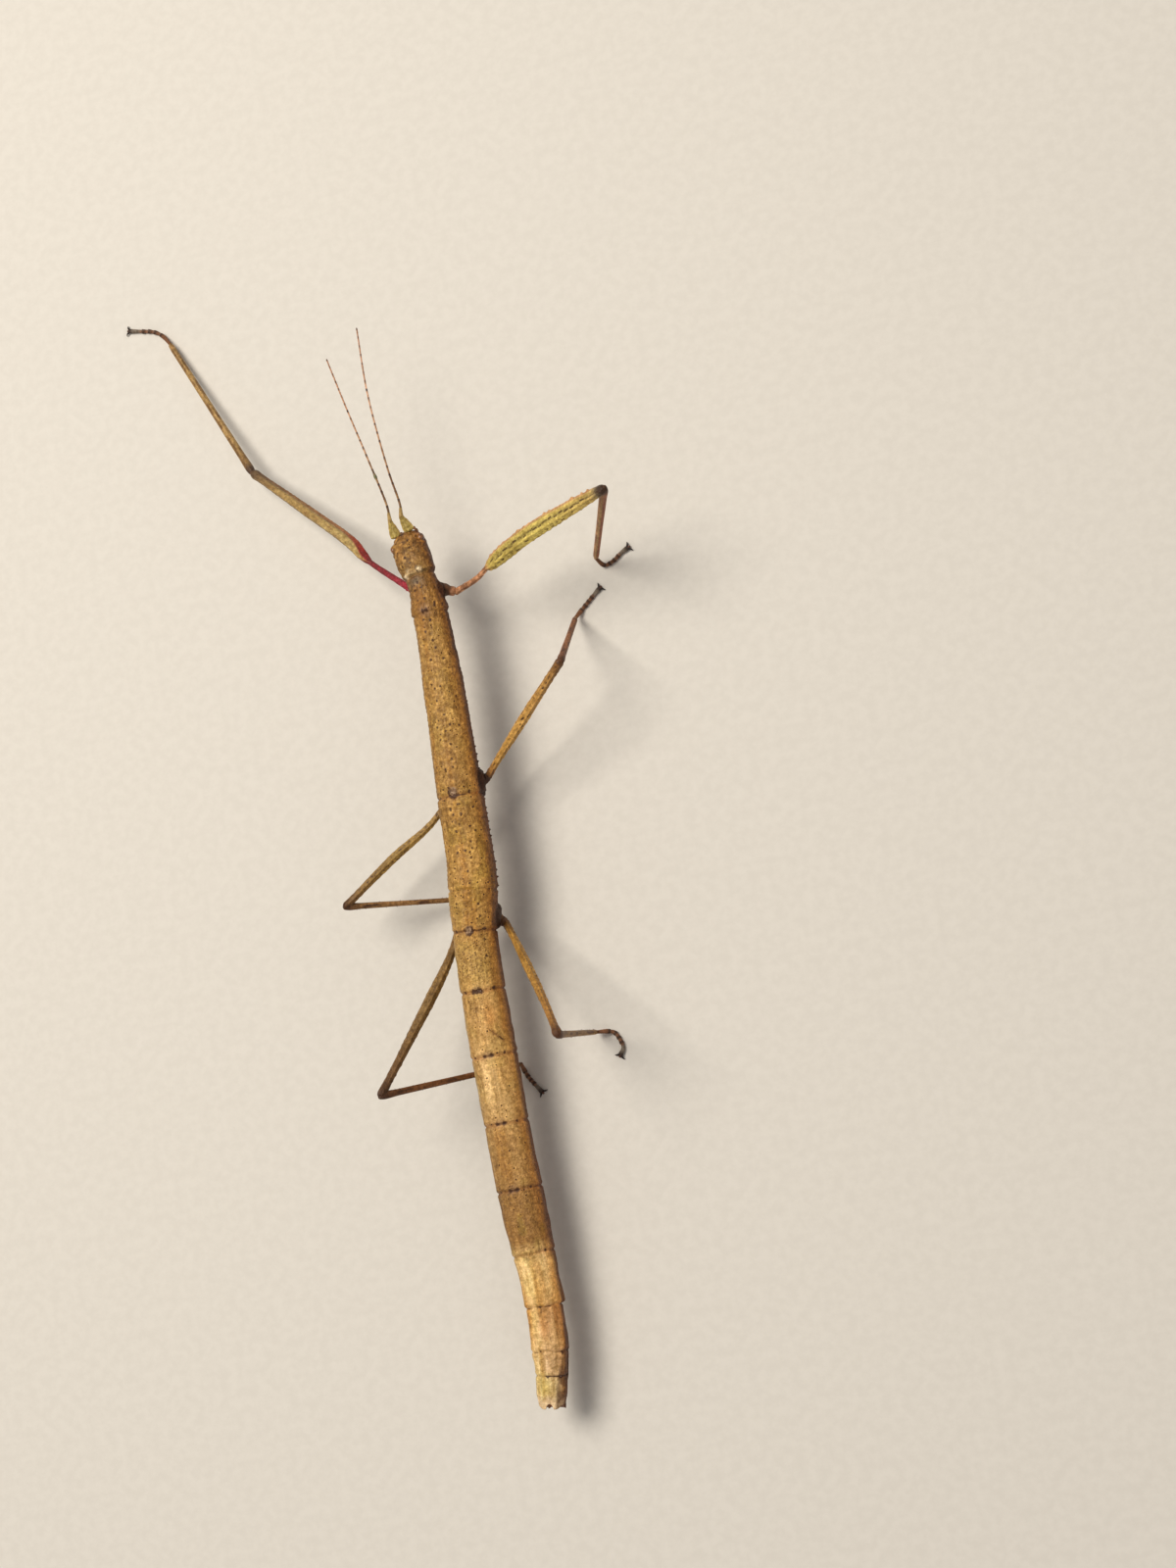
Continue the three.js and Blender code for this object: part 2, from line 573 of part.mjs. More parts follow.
for (const leg of legs) {
  const limb = addGroup();
  const femurHex = leg.name === "fore_right" ? colour.olive : colour.bark;
  const coxa = cut(coxaOf(leg), ...bodyAround(leg));
  const femur = cut(femurOf(leg), coxaOf(leg, CUT));
  const tibia = cut(tibiaOf(leg), femurOf(leg, CUT));
  const tarsus = cut(tarsusOf(leg), tibiaOf(leg, CUT));
  addPiece(limb, `coxa_${leg.name}`, coxa, vector(leg.root), finish(colour.shin));
  addPiece(limb, `femur_${leg.name}`, femur, vector(leg.hip), finish(femurHex));
  addPiece(limb, `tibia_${leg.name}`, tibia, vector(leg.knee), finish(colour.shin));
  addPiece(limb, `tarsus_${leg.name}`, tarsus, vector(leg.ankle), finish(colour.foot));
}

// ---------------------------------------------------------------- origin

const box = new THREE.Box3().setFromObject(insect, true);
const middle = box.getCenter(new THREE.Vector3());
insect.position.set(-middle.x, -middle.y, 0);

export default insect;
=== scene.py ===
# %% [markdown]
# # A stick insect that stands on its six feet
# This lesson dresses the solid model of a stick insect, an adult female, life size.
# The real animal is a twig with legs: a tan bark-like skin with dark pores, a small
# head, two hair-thin feelers and six ridged legs, one of them held up like a blade.
# The solids could be smoothed and painted as they are, but they have few faces and no
# fine relief. So each solid gives its place and size to a fine mesh that replaces it,
# with the real ridges, creases, spines, marks and colours.

# %% The frame
import math
import random

import bpy
import numpy as np
from mathutils import Matrix, Vector


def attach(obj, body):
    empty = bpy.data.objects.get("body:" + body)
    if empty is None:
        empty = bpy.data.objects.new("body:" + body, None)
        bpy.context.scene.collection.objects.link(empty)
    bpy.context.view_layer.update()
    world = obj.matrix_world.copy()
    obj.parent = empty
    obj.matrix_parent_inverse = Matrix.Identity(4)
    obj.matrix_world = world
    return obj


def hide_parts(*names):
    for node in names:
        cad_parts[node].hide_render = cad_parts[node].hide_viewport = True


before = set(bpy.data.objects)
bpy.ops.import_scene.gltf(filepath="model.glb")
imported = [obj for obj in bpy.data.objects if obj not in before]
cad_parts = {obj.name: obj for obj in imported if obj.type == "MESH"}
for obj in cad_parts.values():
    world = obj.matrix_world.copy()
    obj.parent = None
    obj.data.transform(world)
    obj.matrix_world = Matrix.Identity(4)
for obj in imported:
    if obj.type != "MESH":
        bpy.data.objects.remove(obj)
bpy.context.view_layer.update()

print("solids in the frame:", len(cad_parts))

# %% [markdown]
# ## Places and sizes
# Places are in millimetres: X to the insect's left, Y to its tail and Z up. One shift moves
# them to the frame's origin. A curve could give the sizes along the body, but short lists
# of (place, size) pairs are easier to check.

# %% Measuring helpers
MM = 0.001
STAND = np.array([-3.8387, 17.1264, 0.0])  # the insect's own middle, from the origin
UP = np.array([0.0, 0.0, 1.0])


def ease(x, low, high):
    """0 below low, 1 above high, and a soft S between them."""
    t = np.clip((np.asarray(x, float) - low) / (high - low), 0, 1)
    return t * t * (3 - 2 * t)


def hump(x, middle, width):
    """1 at the middle, and a bell that fades over the width."""
    return np.exp(-(((np.asarray(x, float) - middle) / width) ** 2))


def through(pairs):
    """A size that runs smoothly through (place, size) pairs."""
    places = np.array([place for place, _ in pairs], float)
    sizes = np.array([size for _, size in pairs], float)

    def size_at(place):
        after = np.clip(np.searchsorted(places, place), 1, len(places) - 1)
        share = ease(place, places[after - 1], places[after])
        return sizes[after - 1] + (sizes[after] - sizes[after - 1]) * share

    return size_at


def unit(vectors):
    """The same directions with length 1."""
    vectors = np.asarray(vectors, float)
    return vectors / np.linalg.norm(vectors, axis=-1, keepdims=True)


print("a soft step at a quarter:", ease(0.25, 0, 1))
print("a hump at one width:", round(hump(1, 0, 1), 3))

# %% [markdown]
# ## Paths
# Body, legs and feelers are long and round: each is a path with sections square to it. A
# Blender curve with a bevel would make a plain tube. Here the sections are computed, so
# that ridges, teeth and creases can be put in by hand.

# %% A smooth curve between two points
SAMPLES = 80  # places worked out between two points of a path


def curve_between(before, start, end, after):
    """A smooth curve from start to end, which looks at both neighbours."""
    first, middle, last = [np.sqrt(np.linalg.norm(b - a)) for a, b in
                           ((before, start), (start, end), (end, after))]
    leave = (start - before) / first - (end - before) / (first + middle)
    leave = (leave + (end - start) / middle) * middle
    arrive = (end - start) / middle - (after - start) / (middle + last)
    arrive = (arrive + (after - end) / last) * middle
    t = np.linspace(0, 1, SAMPLES, endpoint=False)[:, None]
    bend = -3 * start + 3 * end - 2 * leave - arrive
    twist = 2 * start - 2 * end + leave + arrive
    return start + leave * t + bend * t**2 + twist * t**3


bend = np.array([(0, 0), (1, 0), (2, 1), (2, 2)], float)
print("halfway round a bend:", curve_between(*bend)[SAMPLES // 2].round(3))

# %% Paths and the sections on them
class Path:
    """A smooth line through points, measured by the distance along it."""

    def __init__(self, points):
        points = np.array(points, float)
        if len(points) == 2:
            self.points = points[0] + (points[1] - points[0]) * np.linspace(0, 1, SAMPLES)[:, None]
        else:
            ends = [2 * points[0] - points[1], *points, 2 * points[-1] - points[-2]]
            runs = [curve_between(*ends[i:i + 4]) for i in range(len(points) - 1)]
            self.points = np.vstack([*runs, points[-1:]])
        steps = np.linalg.norm(np.diff(self.points, axis=0), axis=1)
        self.distances = np.concatenate([[0], np.cumsum(steps)])
        self.length = self.distances[-1]

    def at(self, distance):
        """The points at these distances."""
        return np.stack([np.interp(distance, self.distances, self.points[:, i])
                         for i in range(3)], axis=-1)

    def along(self, distance):
        """The way that the path runs, over a hair's breadth."""
        hair = 0.02
        ahead = self.at(np.clip(distance + hair, 0, self.length))
        return unit(ahead - self.at(np.clip(distance - hair, 0, self.length)))

    def frames(self, distance, lean=UP):
        """Middle, side and upward ways of the sections."""
        along = self.along(distance)
        side = unit(np.cross(along, lean))
        return self.at(distance), side, np.cross(side, along)


print("length of a straight path:", Path([(0, 0, 0), (1, 0, 0), (3, 0, 0)]).length)

# %% [markdown]
# ## From points to meshes
# A sweep is a grid of points, one row for each section. A modifier could skin it, but its
# faces are easy to number: four corners each, and a fan of triangles over both ends.

# %% The faces of a sweep
def sweep_faces(rows, columns):
    """The (row, column) of each face's corners: the sides, the first end, the last end.
    A fan's first corner is moved to the middle of its end afterwards."""
    i, j = np.meshgrid(np.arange(rows - 1), np.arange(columns), indexing="ij")
    i, j = i.ravel(), j.ravel()
    sides = np.stack([i, i, i + 1, i + 1], axis=1), np.stack([j, j + 1, j + 1, j], axis=1)
    j = np.arange(columns)
    first_end = np.zeros((columns, 3), int), np.stack([j, j + 1, j], axis=1)
    last_end = np.full((columns, 3), rows - 1), np.stack([j, j, j + 1], axis=1)
    return sides, first_end, last_end


print("faces of a small tube:", [len(row) for row, _ in sweep_faces(3, 8)])

# %% [markdown]
# The finishes read four attributes from a mesh: the colour, how dark a mark is, how thick
# the pores stand, and a place along and around the limb. Image maps could carry these,
# but numbers on the points follow any change of shape.

# %% A mesh and its attributes
def new_mesh(name, points, quads, fans):
    """A smooth mesh from points in millimetres and faces of four and three corners."""
    points = (points + STAND) * MM
    corners = np.concatenate([quads.ravel(), fans.ravel()])
    sizes = np.repeat([4, 3], [len(quads), len(fans)])
    mesh = bpy.data.meshes.new(name)
    mesh.vertices.add(len(points))
    mesh.vertices.foreach_set("co", points.ravel())
    mesh.loops.add(len(corners))
    mesh.loops.foreach_set("vertex_index", corners)
    mesh.polygons.add(len(sizes))
    mesh.polygons.foreach_set("loop_start", np.cumsum(sizes) - sizes)
    mesh.polygons.foreach_set("loop_total", sizes)
    mesh.update(calc_edges=True)
    mesh.shade_smooth()
    return mesh


def new_object(name, data):
    """A new object in the scene."""
    made = bpy.data.objects.new(name, data)
    bpy.context.scene.collection.objects.link(made)
    return made


def store(mesh, name, kind, domain, field, values):
    """Writes an attribute of the mesh."""
    made = mesh.attributes.new(name, kind, domain)
    made.data.foreach_set(field, np.asarray(values, np.float32).ravel())


print("attributes: paint, mark, pores, place")

# %% [markdown]
# A foot is many sweeps: joints, claws, hairs. So a collector, called clay, makes one
# object of them and hides the solid it replaces.

# %% The clay that collects sweeps
class Clay:
    """Collects sweeps into one mesh."""

    def __init__(self):
        self.count = 0
        self.points, self.paint, self.mark, self.pores = [], [], [], []
        self.quads, self.quad_places = [], []
        self.fans, self.fan_places = [], []

    def add(self, grid, along, around, paint, mark=0.0, pores=0.0):
        """Adds a closed sweep. grid is (sections, angles, 3) in millimetres. along has
        a length for each section, and around one for each angle and the first again."""
        rows, columns = grid.shape[:2]
        along, around = np.asarray(along, float), np.asarray(around, float)
        ends = np.stack([grid[0].mean(0), grid[-1].mean(0)])
        self.points.append(np.vstack([grid.reshape(-1, 3), ends]))
        paint = np.broadcast_to(paint, (rows, columns, 3))
        self.paint.append(np.vstack([paint.reshape(-1, 3), paint[0, :1], paint[-1, :1]]))
        for kept, value in ((self.mark, mark), (self.pores, pores)):
            spread = np.broadcast_to(value, (rows, columns))
            kept.append(np.concatenate([spread.ravel(), [spread[0, 0], spread[-1, 0]]]))
        for part, (row, column) in enumerate(sweep_faces(rows, columns)):
            faces = self.count + row * columns + column % columns
            places = np.stack([along[row], around[column]], axis=-1).reshape(-1, 2)
            if part == 0:
                self.quads.append(faces)
                self.quad_places.append(places)
            else:
                faces[:, 0] = self.count + rows * columns + part - 1
                self.fans.append(faces)
                self.fan_places.append(places)
        self.count += rows * columns + 2

    def mesh(self, name, finish, slot, *nodes):
        """Makes the object with its finish, and hides the solids that it replaces."""
        mesh = new_mesh(name, np.vstack(self.points), np.vstack(self.quads),
                        np.vstack(self.fans))
        paint = np.hstack([np.vstack(self.paint), np.ones((self.count, 1))])
        store(mesh, "paint", "FLOAT_COLOR", "POINT", "color", paint)
        store(mesh, "mark", "FLOAT", "POINT", "value", np.concatenate(self.mark))
        store(mesh, "pores", "FLOAT", "POINT", "value", np.concatenate(self.pores))
        places = np.vstack(self.quad_places + self.fan_places)
        flat = np.hstack([places, np.zeros((len(places), 1))])
        store(mesh, "place", "FLOAT_VECTOR", "CORNER", "vector", flat)
        mesh.validate()
        mesh.materials.append(finish)
        piece = new_object(name, mesh)
        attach(piece, "root")
        if nodes:
            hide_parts(*nodes)
        print(name, self.count, "points")
        return piece


print("clay is ready, with", Clay().count, "points")

# %% [markdown]
# ## Colours
# The animal has few colours: tan, straw, olive, rust, browns, and the crimson inside of the
# fore legs, hidden along its head at rest. A picker would give the same values, but
# written screen colours can be compared with their neighbours.

# %% Screen colours and blends
def rgb(red, green, blue):
    """A screen colour as linear light."""
    screen = np.array([red, green, blue]) / 255
    return np.where(screen <= 0.04045, screen / 12.92, ((screen + 0.055) / 1.055) ** 2.4)


def blend(below, above, share):
    """The colour above laid over the colour below."""
    return below + (above - below) * np.asarray(share, float)[..., None]


def tone_at(place, tones):
    """The colour at a place, from rows of a place and a screen colour."""
    places = [row[0] for row in tones]
    colours = np.array([rgb(*row[1:]) for row in tones])
    return np.stack([np.interp(place, places, colours[:, i]) for i in range(3)], -1)


print("tan in linear light:", rgb(182, 138, 82).round(3))

# %% [markdown]
# ## The skin's finish
# The skin is hard and waxy, not wet: a satin sheen over fine grains, with small dark
# pores. A picture wrapped round the body would stretch on the thin legs, so one
# procedural finish serves all of it.

# %% Node helpers
def feed(tree, made, inputs):
    """Sets a node's inputs, given as (socket, value or link)."""
    for socket, value in inputs:
        if isinstance(value, bpy.types.NodeSocket):
            tree.links.new(value, made.inputs[socket])
        else:
            made.inputs[socket].default_value = value


def node(tree, kind, inputs=(), **settings):
    """A new node."""
    made = tree.nodes.new(kind)
    for name, value in settings.items():
        setattr(made, name, value)
    feed(tree, made, inputs)
    return made


def calc(tree, operation, *values):
    """A sum of one or more numbers or links."""
    return node(tree, "ShaderNodeMath", list(enumerate(values)), operation=operation).outputs[0]


def mapped(tree, value, from_low, from_high, to_low, to_high):
    """A value moved softly from one range to another."""
    sockets = [("Value", value), ("From Min", from_low), ("From Max", from_high),
               ("To Min", to_low), ("To Max", to_high)]
    made = node(tree, "ShaderNodeMapRange", sockets, interpolation_type="SMOOTHSTEP")
    return made.outputs["Result"]


def mixed(tree, share, below, above, how="MIX"):
    """One colour over another by a share."""
    sockets = [(0, share), (6, below), (7, above)]
    return node(tree, "ShaderNodeMix", sockets, data_type="RGBA", blend_type=how).outputs[2]


def times(tree, colour, red, green, blue):
    """A colour made lighter or darker."""
    return mixed(tree, 1.0, colour, (red, green, blue, 1), "MULTIPLY")


def flat_colour(colour):
    """A colour as a socket takes it."""
    return (*[float(value) for value in colour], 1.0)


print("a pore's brown for a socket:", [round(value, 3) for value in flat_colour(rgb(64, 36, 20))])

# %% Where the noise is read, and how fine it is
def new_finish(name):
    """A new material, its node tree and its shader."""
    made = bpy.data.materials.new(name)
    made.use_nodes = True
    return made, made.node_tree, made.node_tree.nodes["Principled BSDF"]


def scaled(tree, where, *factors):
    """A place multiplied along each of its three ways."""
    return node(tree, "ShaderNodeVectorMath", [(0, where), (1, factors)],
                operation="MULTIPLY").outputs[0]


def bumped(tree, strength, distance, height):
    """The way a bumpy surface faces. The distance is in metres."""
    sockets = [("Strength", strength), ("Distance", distance), ("Height", height)]
    return node(tree, "ShaderNodeBump", sockets).outputs[0]


def own_place(tree):
    """The object's own coordinates."""
    return node(tree, "ShaderNodeTexCoord").outputs["Object"]


def stored(tree, name, output="Fac"):
    """A number, colour or place stored on the mesh."""
    return node(tree, "ShaderNodeAttribute", attribute_name=name).outputs[output]


def grain(tree, where, per_mm, detail=3.0, rough=0.6):
    """Cloudy noise with a number of clouds for each unit of the place."""
    sockets = [("Vector", where), ("Scale", per_mm), ("Detail", detail), ("Roughness", rough)]
    return node(tree, "ShaderNodeTexNoise", sockets).outputs["Fac"]


PER_METRE = (1000, 1000, 1000)  # turns metres into millimetres
DRAWN_OUT = (0.16, 1.5, 1)  # along the limb, around it, and unused
print("a streak is", round(DRAWN_OUT[1] / DRAWN_OUT[0], 1), "times as long as wide")

# %% [markdown]
# ### Tints
# Clouds and patches make the skin lighter or duller, streaks run along it, and freckles
# and painted glints, pale specks that stand for light caught by the grains, lie on top.
# Brushwork would be coarser, so noise lays the tints.

# %% Clouds, patches, streaks, freckles and painted glints
def weathered(tree, colour, in_mm, streak, fine, pores, streaks, freckles):
    """The painted colour, broken up by noise at three sizes."""
    clouds = grain(tree, in_mm, 0.55, 4, 0.65)
    patches = grain(tree, in_mm, 2.3, 3, 0.65)
    freckle = calc(tree, "MULTIPLY", mapped(tree, fine, 0.55, 0.68, 0, freckles),
                   mapped(tree, pores, 0.0, 0.2, 0.35, 1))
    layers = [
        (mapped(tree, clouds, 0.5, 0.75, 0, 0.5), (1.25, 1.24, 1.16)),
        (mapped(tree, clouds, 0.5, 0.27, 0, 0.45), (0.74, 0.68, 0.56)),
        (mapped(tree, patches, 0.5, 0.63, 0, 0.85), (1.34, 1.38, 1.45)),
        (mapped(tree, patches, 0.49, 0.36, 0, 0.85), (0.68, 0.64, 0.52)),
        (mapped(tree, streak, 0.52, 0.36, 0, streaks), (0.6, 0.53, 0.44)),
        (freckle, (0.5, 0.43, 0.34)),
        # painted glints: fine pale specks in the colour, standing for light caught by the grain
        (mapped(tree, fine, 0.47, 0.34, 0, 0.65), (1.34, 1.37, 1.4))]
    for share, tint in layers:
        colour = mixed(tree, share, colour, times(tree, colour, *tint))
    return colour


print("layers of tint: 7")

# %% [markdown]
# ### Pores
# A pore is a dark pit of a tenth of a millimetre in a pale ring. The mesh is coarser than
# that, so a cell pattern draws them. It reads the stored place, so they stay round.

# %% Pores in pale rings
PORE_CELL = 0.6  # millimetres from one pore's place to the next
PORE_BROWN = flat_colour(rgb(64, 36, 20))


def pored(tree, colour, place, pores, pore_share):
    """The colour with pores, and the shares of pits and rings."""
    cells = node(tree, "ShaderNodeTexVoronoi", [("Vector", place), ("Scale", 1 / PORE_CELL)],
                 voronoi_dimensions="2D")
    away = calc(tree, "MULTIPLY", cells.outputs["Distance"], PORE_CELL)
    pick = node(tree, "ShaderNodeSeparateColor", [(0, cells.outputs["Color"])])
    few = calc(tree, "MULTIPLY", pores, pore_share)
    wanted = calc(tree, "LESS_THAN", pick.outputs[0], few)
    size = calc(tree, "MULTIPLY_ADD", pick.outputs[1], 0.055, 0.035)
    inside = calc(tree, "SUBTRACT", size, away)
    pit = calc(tree, "MULTIPLY", mapped(tree, inside, -0.05, 0.02, 0, 0.9), wanted)
    ring = calc(tree, "MULTIPLY", mapped(tree, inside, -0.18, -0.05, 0, 0.45), wanted)
    colour = mixed(tree, ring, colour, times(tree, colour, 1.4, 1.38, 1.3))
    return mixed(tree, pit, colour, PORE_BROWN), pit, ring


print("at most one pore to a cell of", PORE_CELL, "mm")

# %% [markdown]
# ### Marks
# Spots and seam lines are stored on the points as one number. Below 1 it is a dark stain
# with a ragged edge, and above 1 the stain is frosted grey. Painted as colours, they
# would end as softly as the mesh is coarse.

# %% Dark marks with a frosted middle
STAIN = flat_colour(rgb(66, 36, 20))
FROST = flat_colour(rgb(172, 154, 140))


def marked(tree, colour, mark, fine):
    """The colour with its dark marks."""
    edge = calc(tree, "ADD", mark, calc(tree, "MULTIPLY_ADD", fine, 0.36, -0.18))
    blot = mapped(tree, edge, 0.2, 0.8, 0, 0.93)
    blot = calc(tree, "MULTIPLY", blot, mapped(tree, mark, 0.02, 0.2, 0, 1))
    colour = mixed(tree, blot, colour, STAIN)
    return mixed(tree, mapped(tree, mark, 1.15, 1.6, 0, 0.75), colour, FROST)


print("a stain's brown:", [round(value, 3) for value in STAIN])

# %% [markdown]
# ### Grain
# The skin has beads of a fifth of a millimetre, finer than the mesh, so a bump carries
# them. All larger relief is real geometry, because a bump doesn't change the outline.

# %% The bump of the skin
def fine_bump(tree, in_mm, fine, streak, pit, ring, grains):
    """Beads, grain, streaks and pores as a bump."""
    bumps = node(tree, "ShaderNodeTexVoronoi", [("Vector", in_mm), ("Scale", 5.5)],
                 feature="SMOOTH_F1")
    height = mapped(tree, bumps.outputs["Distance"], 0.1, 0.55, 1, 0)
    for layer, share in ((fine, 0.6), (streak, 1.1), (pit, -1.6), (ring, 0.8)):
        height = calc(tree, "MULTIPLY_ADD", layer, share, height)
    return bumped(tree, 0.75, 0.00005 * grains, height)


print("beads of the bump:", round(1 / 5.5, 2), "mm apart")

# %% [markdown]
# ### The finish put together
# The roughness goes from satin to nearly matt with the grain. A thin coat gives the waxy
# edge, and a little light spreads inside, as in thin horn. A fixed gloss would look like
# plastic. Each part of the body asks for its own pores and streaks.

# %% The skin finish
def skin_finish(name, pore_share=0.6, streaks=0.35, grains=1.0, freckles=0.7):
    """A waxy, grainy skin with pores, streaks and marks."""
    made, tree, shader = new_finish(name)
    in_mm = scaled(tree, own_place(tree), *PER_METRE)
    place = stored(tree, "place", "Vector")
    pores = stored(tree, "pores")
    fine = grain(tree, in_mm, 5.0, 3, 0.6)
    streak = grain(tree, scaled(tree, place, *DRAWN_OUT), 2.6, 4, 0.6)
    colour = stored(tree, "paint", "Color")
    colour = weathered(tree, colour, in_mm, streak, fine, pores, streaks, freckles)
    colour, pit, ring = pored(tree, colour, place, pores, pore_share)
    colour = marked(tree, colour, stored(tree, "mark"), fine)
    feed(tree, shader, [
        ("Base Color", colour), ("Roughness", calc(tree, "MULTIPLY_ADD", fine, 0.35, 0.34)),
        ("Specular IOR Level", 0.3), ("Coat Weight", 0.05), ("Coat Roughness", 0.4),
        ("Subsurface Weight", 0.06), ("Subsurface Radius", (0.0009, 0.0005, 0.0003)),
        ("Subsurface Scale", 0.4),
        ("Normal", fine_bump(tree, in_mm, fine, streak, pit, ring, grains))])
    return made


trunk_skin = skin_finish("trunk_skin")
print("finish made:", trunk_skin.name, "with", len(trunk_skin.node_tree.nodes), "nodes")

# %% [markdown]
# ## Chance that repeats
# Pores and blotches follow no rule, so the model needs chance, but the same on each run.
# It comes from the place itself, as a soft noise and as scattered specks. Blender's own
# noise works one point at a time, and these on a whole grid.

# %% Noise and specks
def chance(x, y, z, seed):
    """Numbers from 0 to 1 for whole-number places."""
    mixed_up = np.sin(x * 12.9898 + y * 78.233 + z * 37.719 + seed * 4.1414) * 43758.5453
    return mixed_up - np.floor(mixed_up)


def cloudy(where, seed=0):
    """Soft noise from 0 to 1, about one cloud to each unit of length."""
    base = np.floor(where)
    share = where - base
    share = share * share * (3 - 2 * share)
    total = 0.0
    for i, j, k in np.ndindex(2, 2, 2):
        weight = np.abs(1 - i - share[..., 0]) * np.abs(1 - j - share[..., 1])
        weight = weight * np.abs(1 - k - share[..., 2])
        corner = chance(base[..., 0] + i, base[..., 1] + j, base[..., 2] + k, seed)
        total = total + weight * corner
    return total


def specks(along, across, cell, seed=0):
    """Distance to the nearest speck, and that speck's own number."""
    row, column = np.floor(along / cell), np.floor(across / cell)
    nearest = np.full(np.shape(along), 1e6)
    number = np.zeros(np.shape(along))
    for i, j in np.ndindex(3, 3):
        a, b = row + i - 1, column + j - 1
        down = (a + 0.15 + 0.7 * chance(a, b, 1, seed)) * cell - along
        aside = (b + 0.15 + 0.7 * chance(a, b, 2, seed)) * cell - across
        away = np.hypot(down, aside)
        closer = away < nearest
        nearest = np.where(closer, away, nearest)
        number = np.where(closer, chance(a, b, 3, seed), number)
    return nearest, number


print("mean chance:", round(chance(np.arange(1000), 0, 0, 1).mean(), 3))

# %% [markdown]
# ## The trunk's plan
# The trunk is one line of plates: a short head, three thorax plates, and the abdomen's
# rings, down to a notched plate. Sections could be drawn one by one. A rule with each
# plate's widths places the skin just inside the solids instead.

# %% The trunk's line and sizes
MIDDLE = Path([
    (0.16, -46.75, 9.3), (-0.47, -43.9, 9.3), (-1.12, -40.0, 9.1), (-1.36, -34.0, 8.8),
    (-1.12, -18.0, 7.95), (-0.9, -9.5, 7.5), (-0.07, -2.5, 7.15), (0.03, 16.5, 6.13),
    (-0.16, 24.0, 5.75), (-0.68, 35.5, 5.14), (-0.5, 40.5, 4.88), (0.34, 46.6, 4.57)])
HEAD_LENGTH = 5.2
HEAD_WIDTH = through([(0, 1.6), (0.45, 2.8), (1.2, 3.6), (2.4, 4.0), (3.4, 4.08),
                      (4.6, 3.75), (5.2, 3.35)])
HEAD_HEIGHT = through([(0, 1.2), (0.45, 2.0), (1.2, 2.6), (2.4, 3.15), (3.6, 3.3),
                       (4.6, 3.1), (5.2, 2.75)])
HEAD_LIFT = through([(0, -0.25), (1.2, -0.12), (3, 0)])
# name, length, widths at the front, middle and rear, height as a share of them, lift
RINGS = [
    ("prothorax", 4.2, (3.3, 3.5, 4.1), 0.86, 0),
    ("mesothorax", 19.75, (3.85, 4.5, 4.95), 0.87, 0),
    ("metathorax", 9.95, (5.05, 5.1, 5.35), 0.86, 0),
    ("median_segment", 4.35, (5.3, 5.2, 4.9), 0.86, 0),
    ("abdomen_2", 6.35, (4.75, 4.8, 4.92), 0.86, 0),
    ("abdomen_3", 6.8, (4.9, 4.95, 5.0), 0.86, 0),
    ("abdomen_4", 7.12, (4.9, 4.85, 4.85), 0.86, 0),
    ("abdomen_5", 6.98, (4.8, 4.85, 4.9), 0.86, 0),
    ("abdomen_6", 6.7, (4.85, 4.85, 4.6), 0.85, 0),
    ("abdomen_7", 5.47, (4.45, 4.25, 4.4), 0.84, 0),
    ("abdomen_8", 4.63, (4.05, 4.0, 4.05), 0.74, 0.28),
    ("abdomen_9", 2.5, (3.85, 3.65, 3.55), 0.72, 0.38),
    ("abdomen_10", 3.45, (3.5, 3.4, 3.0), 0.68, 0.42)]
SUTURES = HEAD_LENGTH + np.concatenate([[0], np.cumsum([ring[1] for ring in RINGS])])
TAIL = SUTURES[-1]
print("trunk", round(TAIL, 2), "mm long on a line of", round(MIDDLE.length, 2))

# %% The trunk's sections
SKIN_GAP = 0.05  # how far the skin lies inside the solids
SQUARE = 2.15  # 2 is an oval, and more is squarer
BELLY = 0.92  # the belly's depth, as a share of the back's height
KEEL = 0.05  # the keel's height


def trunk_size(distance):
    """Width, height and lift of the trunk's section, behind the brow."""
    distance = np.asarray(distance, float)
    width, height, lift = HEAD_WIDTH(distance), HEAD_HEIGHT(distance), HEAD_LIFT(distance)
    for start, (_, length, (front, mid, rear), tall, raised) in zip(SUTURES, RINGS):
        here = distance >= start
        pairs = [(0, front * 0.97), (0.4, front), (length / 2, mid), (length - 0.5, rear),
                 (length, rear * 0.98)]
        own = through(pairs)(distance - start)
        width = np.where(here, own, width)
        height = np.where(here, own * tall, height)
        lift = np.where(here, raised, lift)
    return width, height, lift


def trunk_section(distance, angle):
    """The section's point to the left and up. Angles count from the top."""
    width, height, lift = trunk_size(distance)
    across, rise = np.sin(angle), np.cos(angle)
    reach = (np.abs(across) ** SQUARE + np.abs(rise) ** SQUARE) ** (-1 / SQUARE)
    belly = np.where(rise < 0, BELLY, 1)
    keel = KEEL * np.maximum(0, rise) ** 24
    left = (width / 2 - SKIN_GAP) * across * reach
    return left, (height / 2 - SKIN_GAP) * rise * reach * belly + keel + lift


def trunk_point(distance, angle, out=0.0):
    """A place on the trunk's skin, moved outward by a little."""
    centre, side, up = MIDDLE.frames(distance)
    left, rise = trunk_section(distance, angle)
    left = left + out * np.sin(angle)
    rise = rise + out * np.cos(angle)
    return centre + side * left[..., None] + up * rise[..., None]


print("widest place:", round(trunk_size(np.linspace(0, TAIL, 500))[0].max(), 2), "mm")

# %% [markdown]
# ## The legs' plan
# Each leg has a hip, thigh, shin and foot. The right fore leg is held up like a blade, and
# the left one lies along the ground. Bones would serve a moving figure. This one is still,
# so each joint has its place, listed now because the skin swells round the hips.

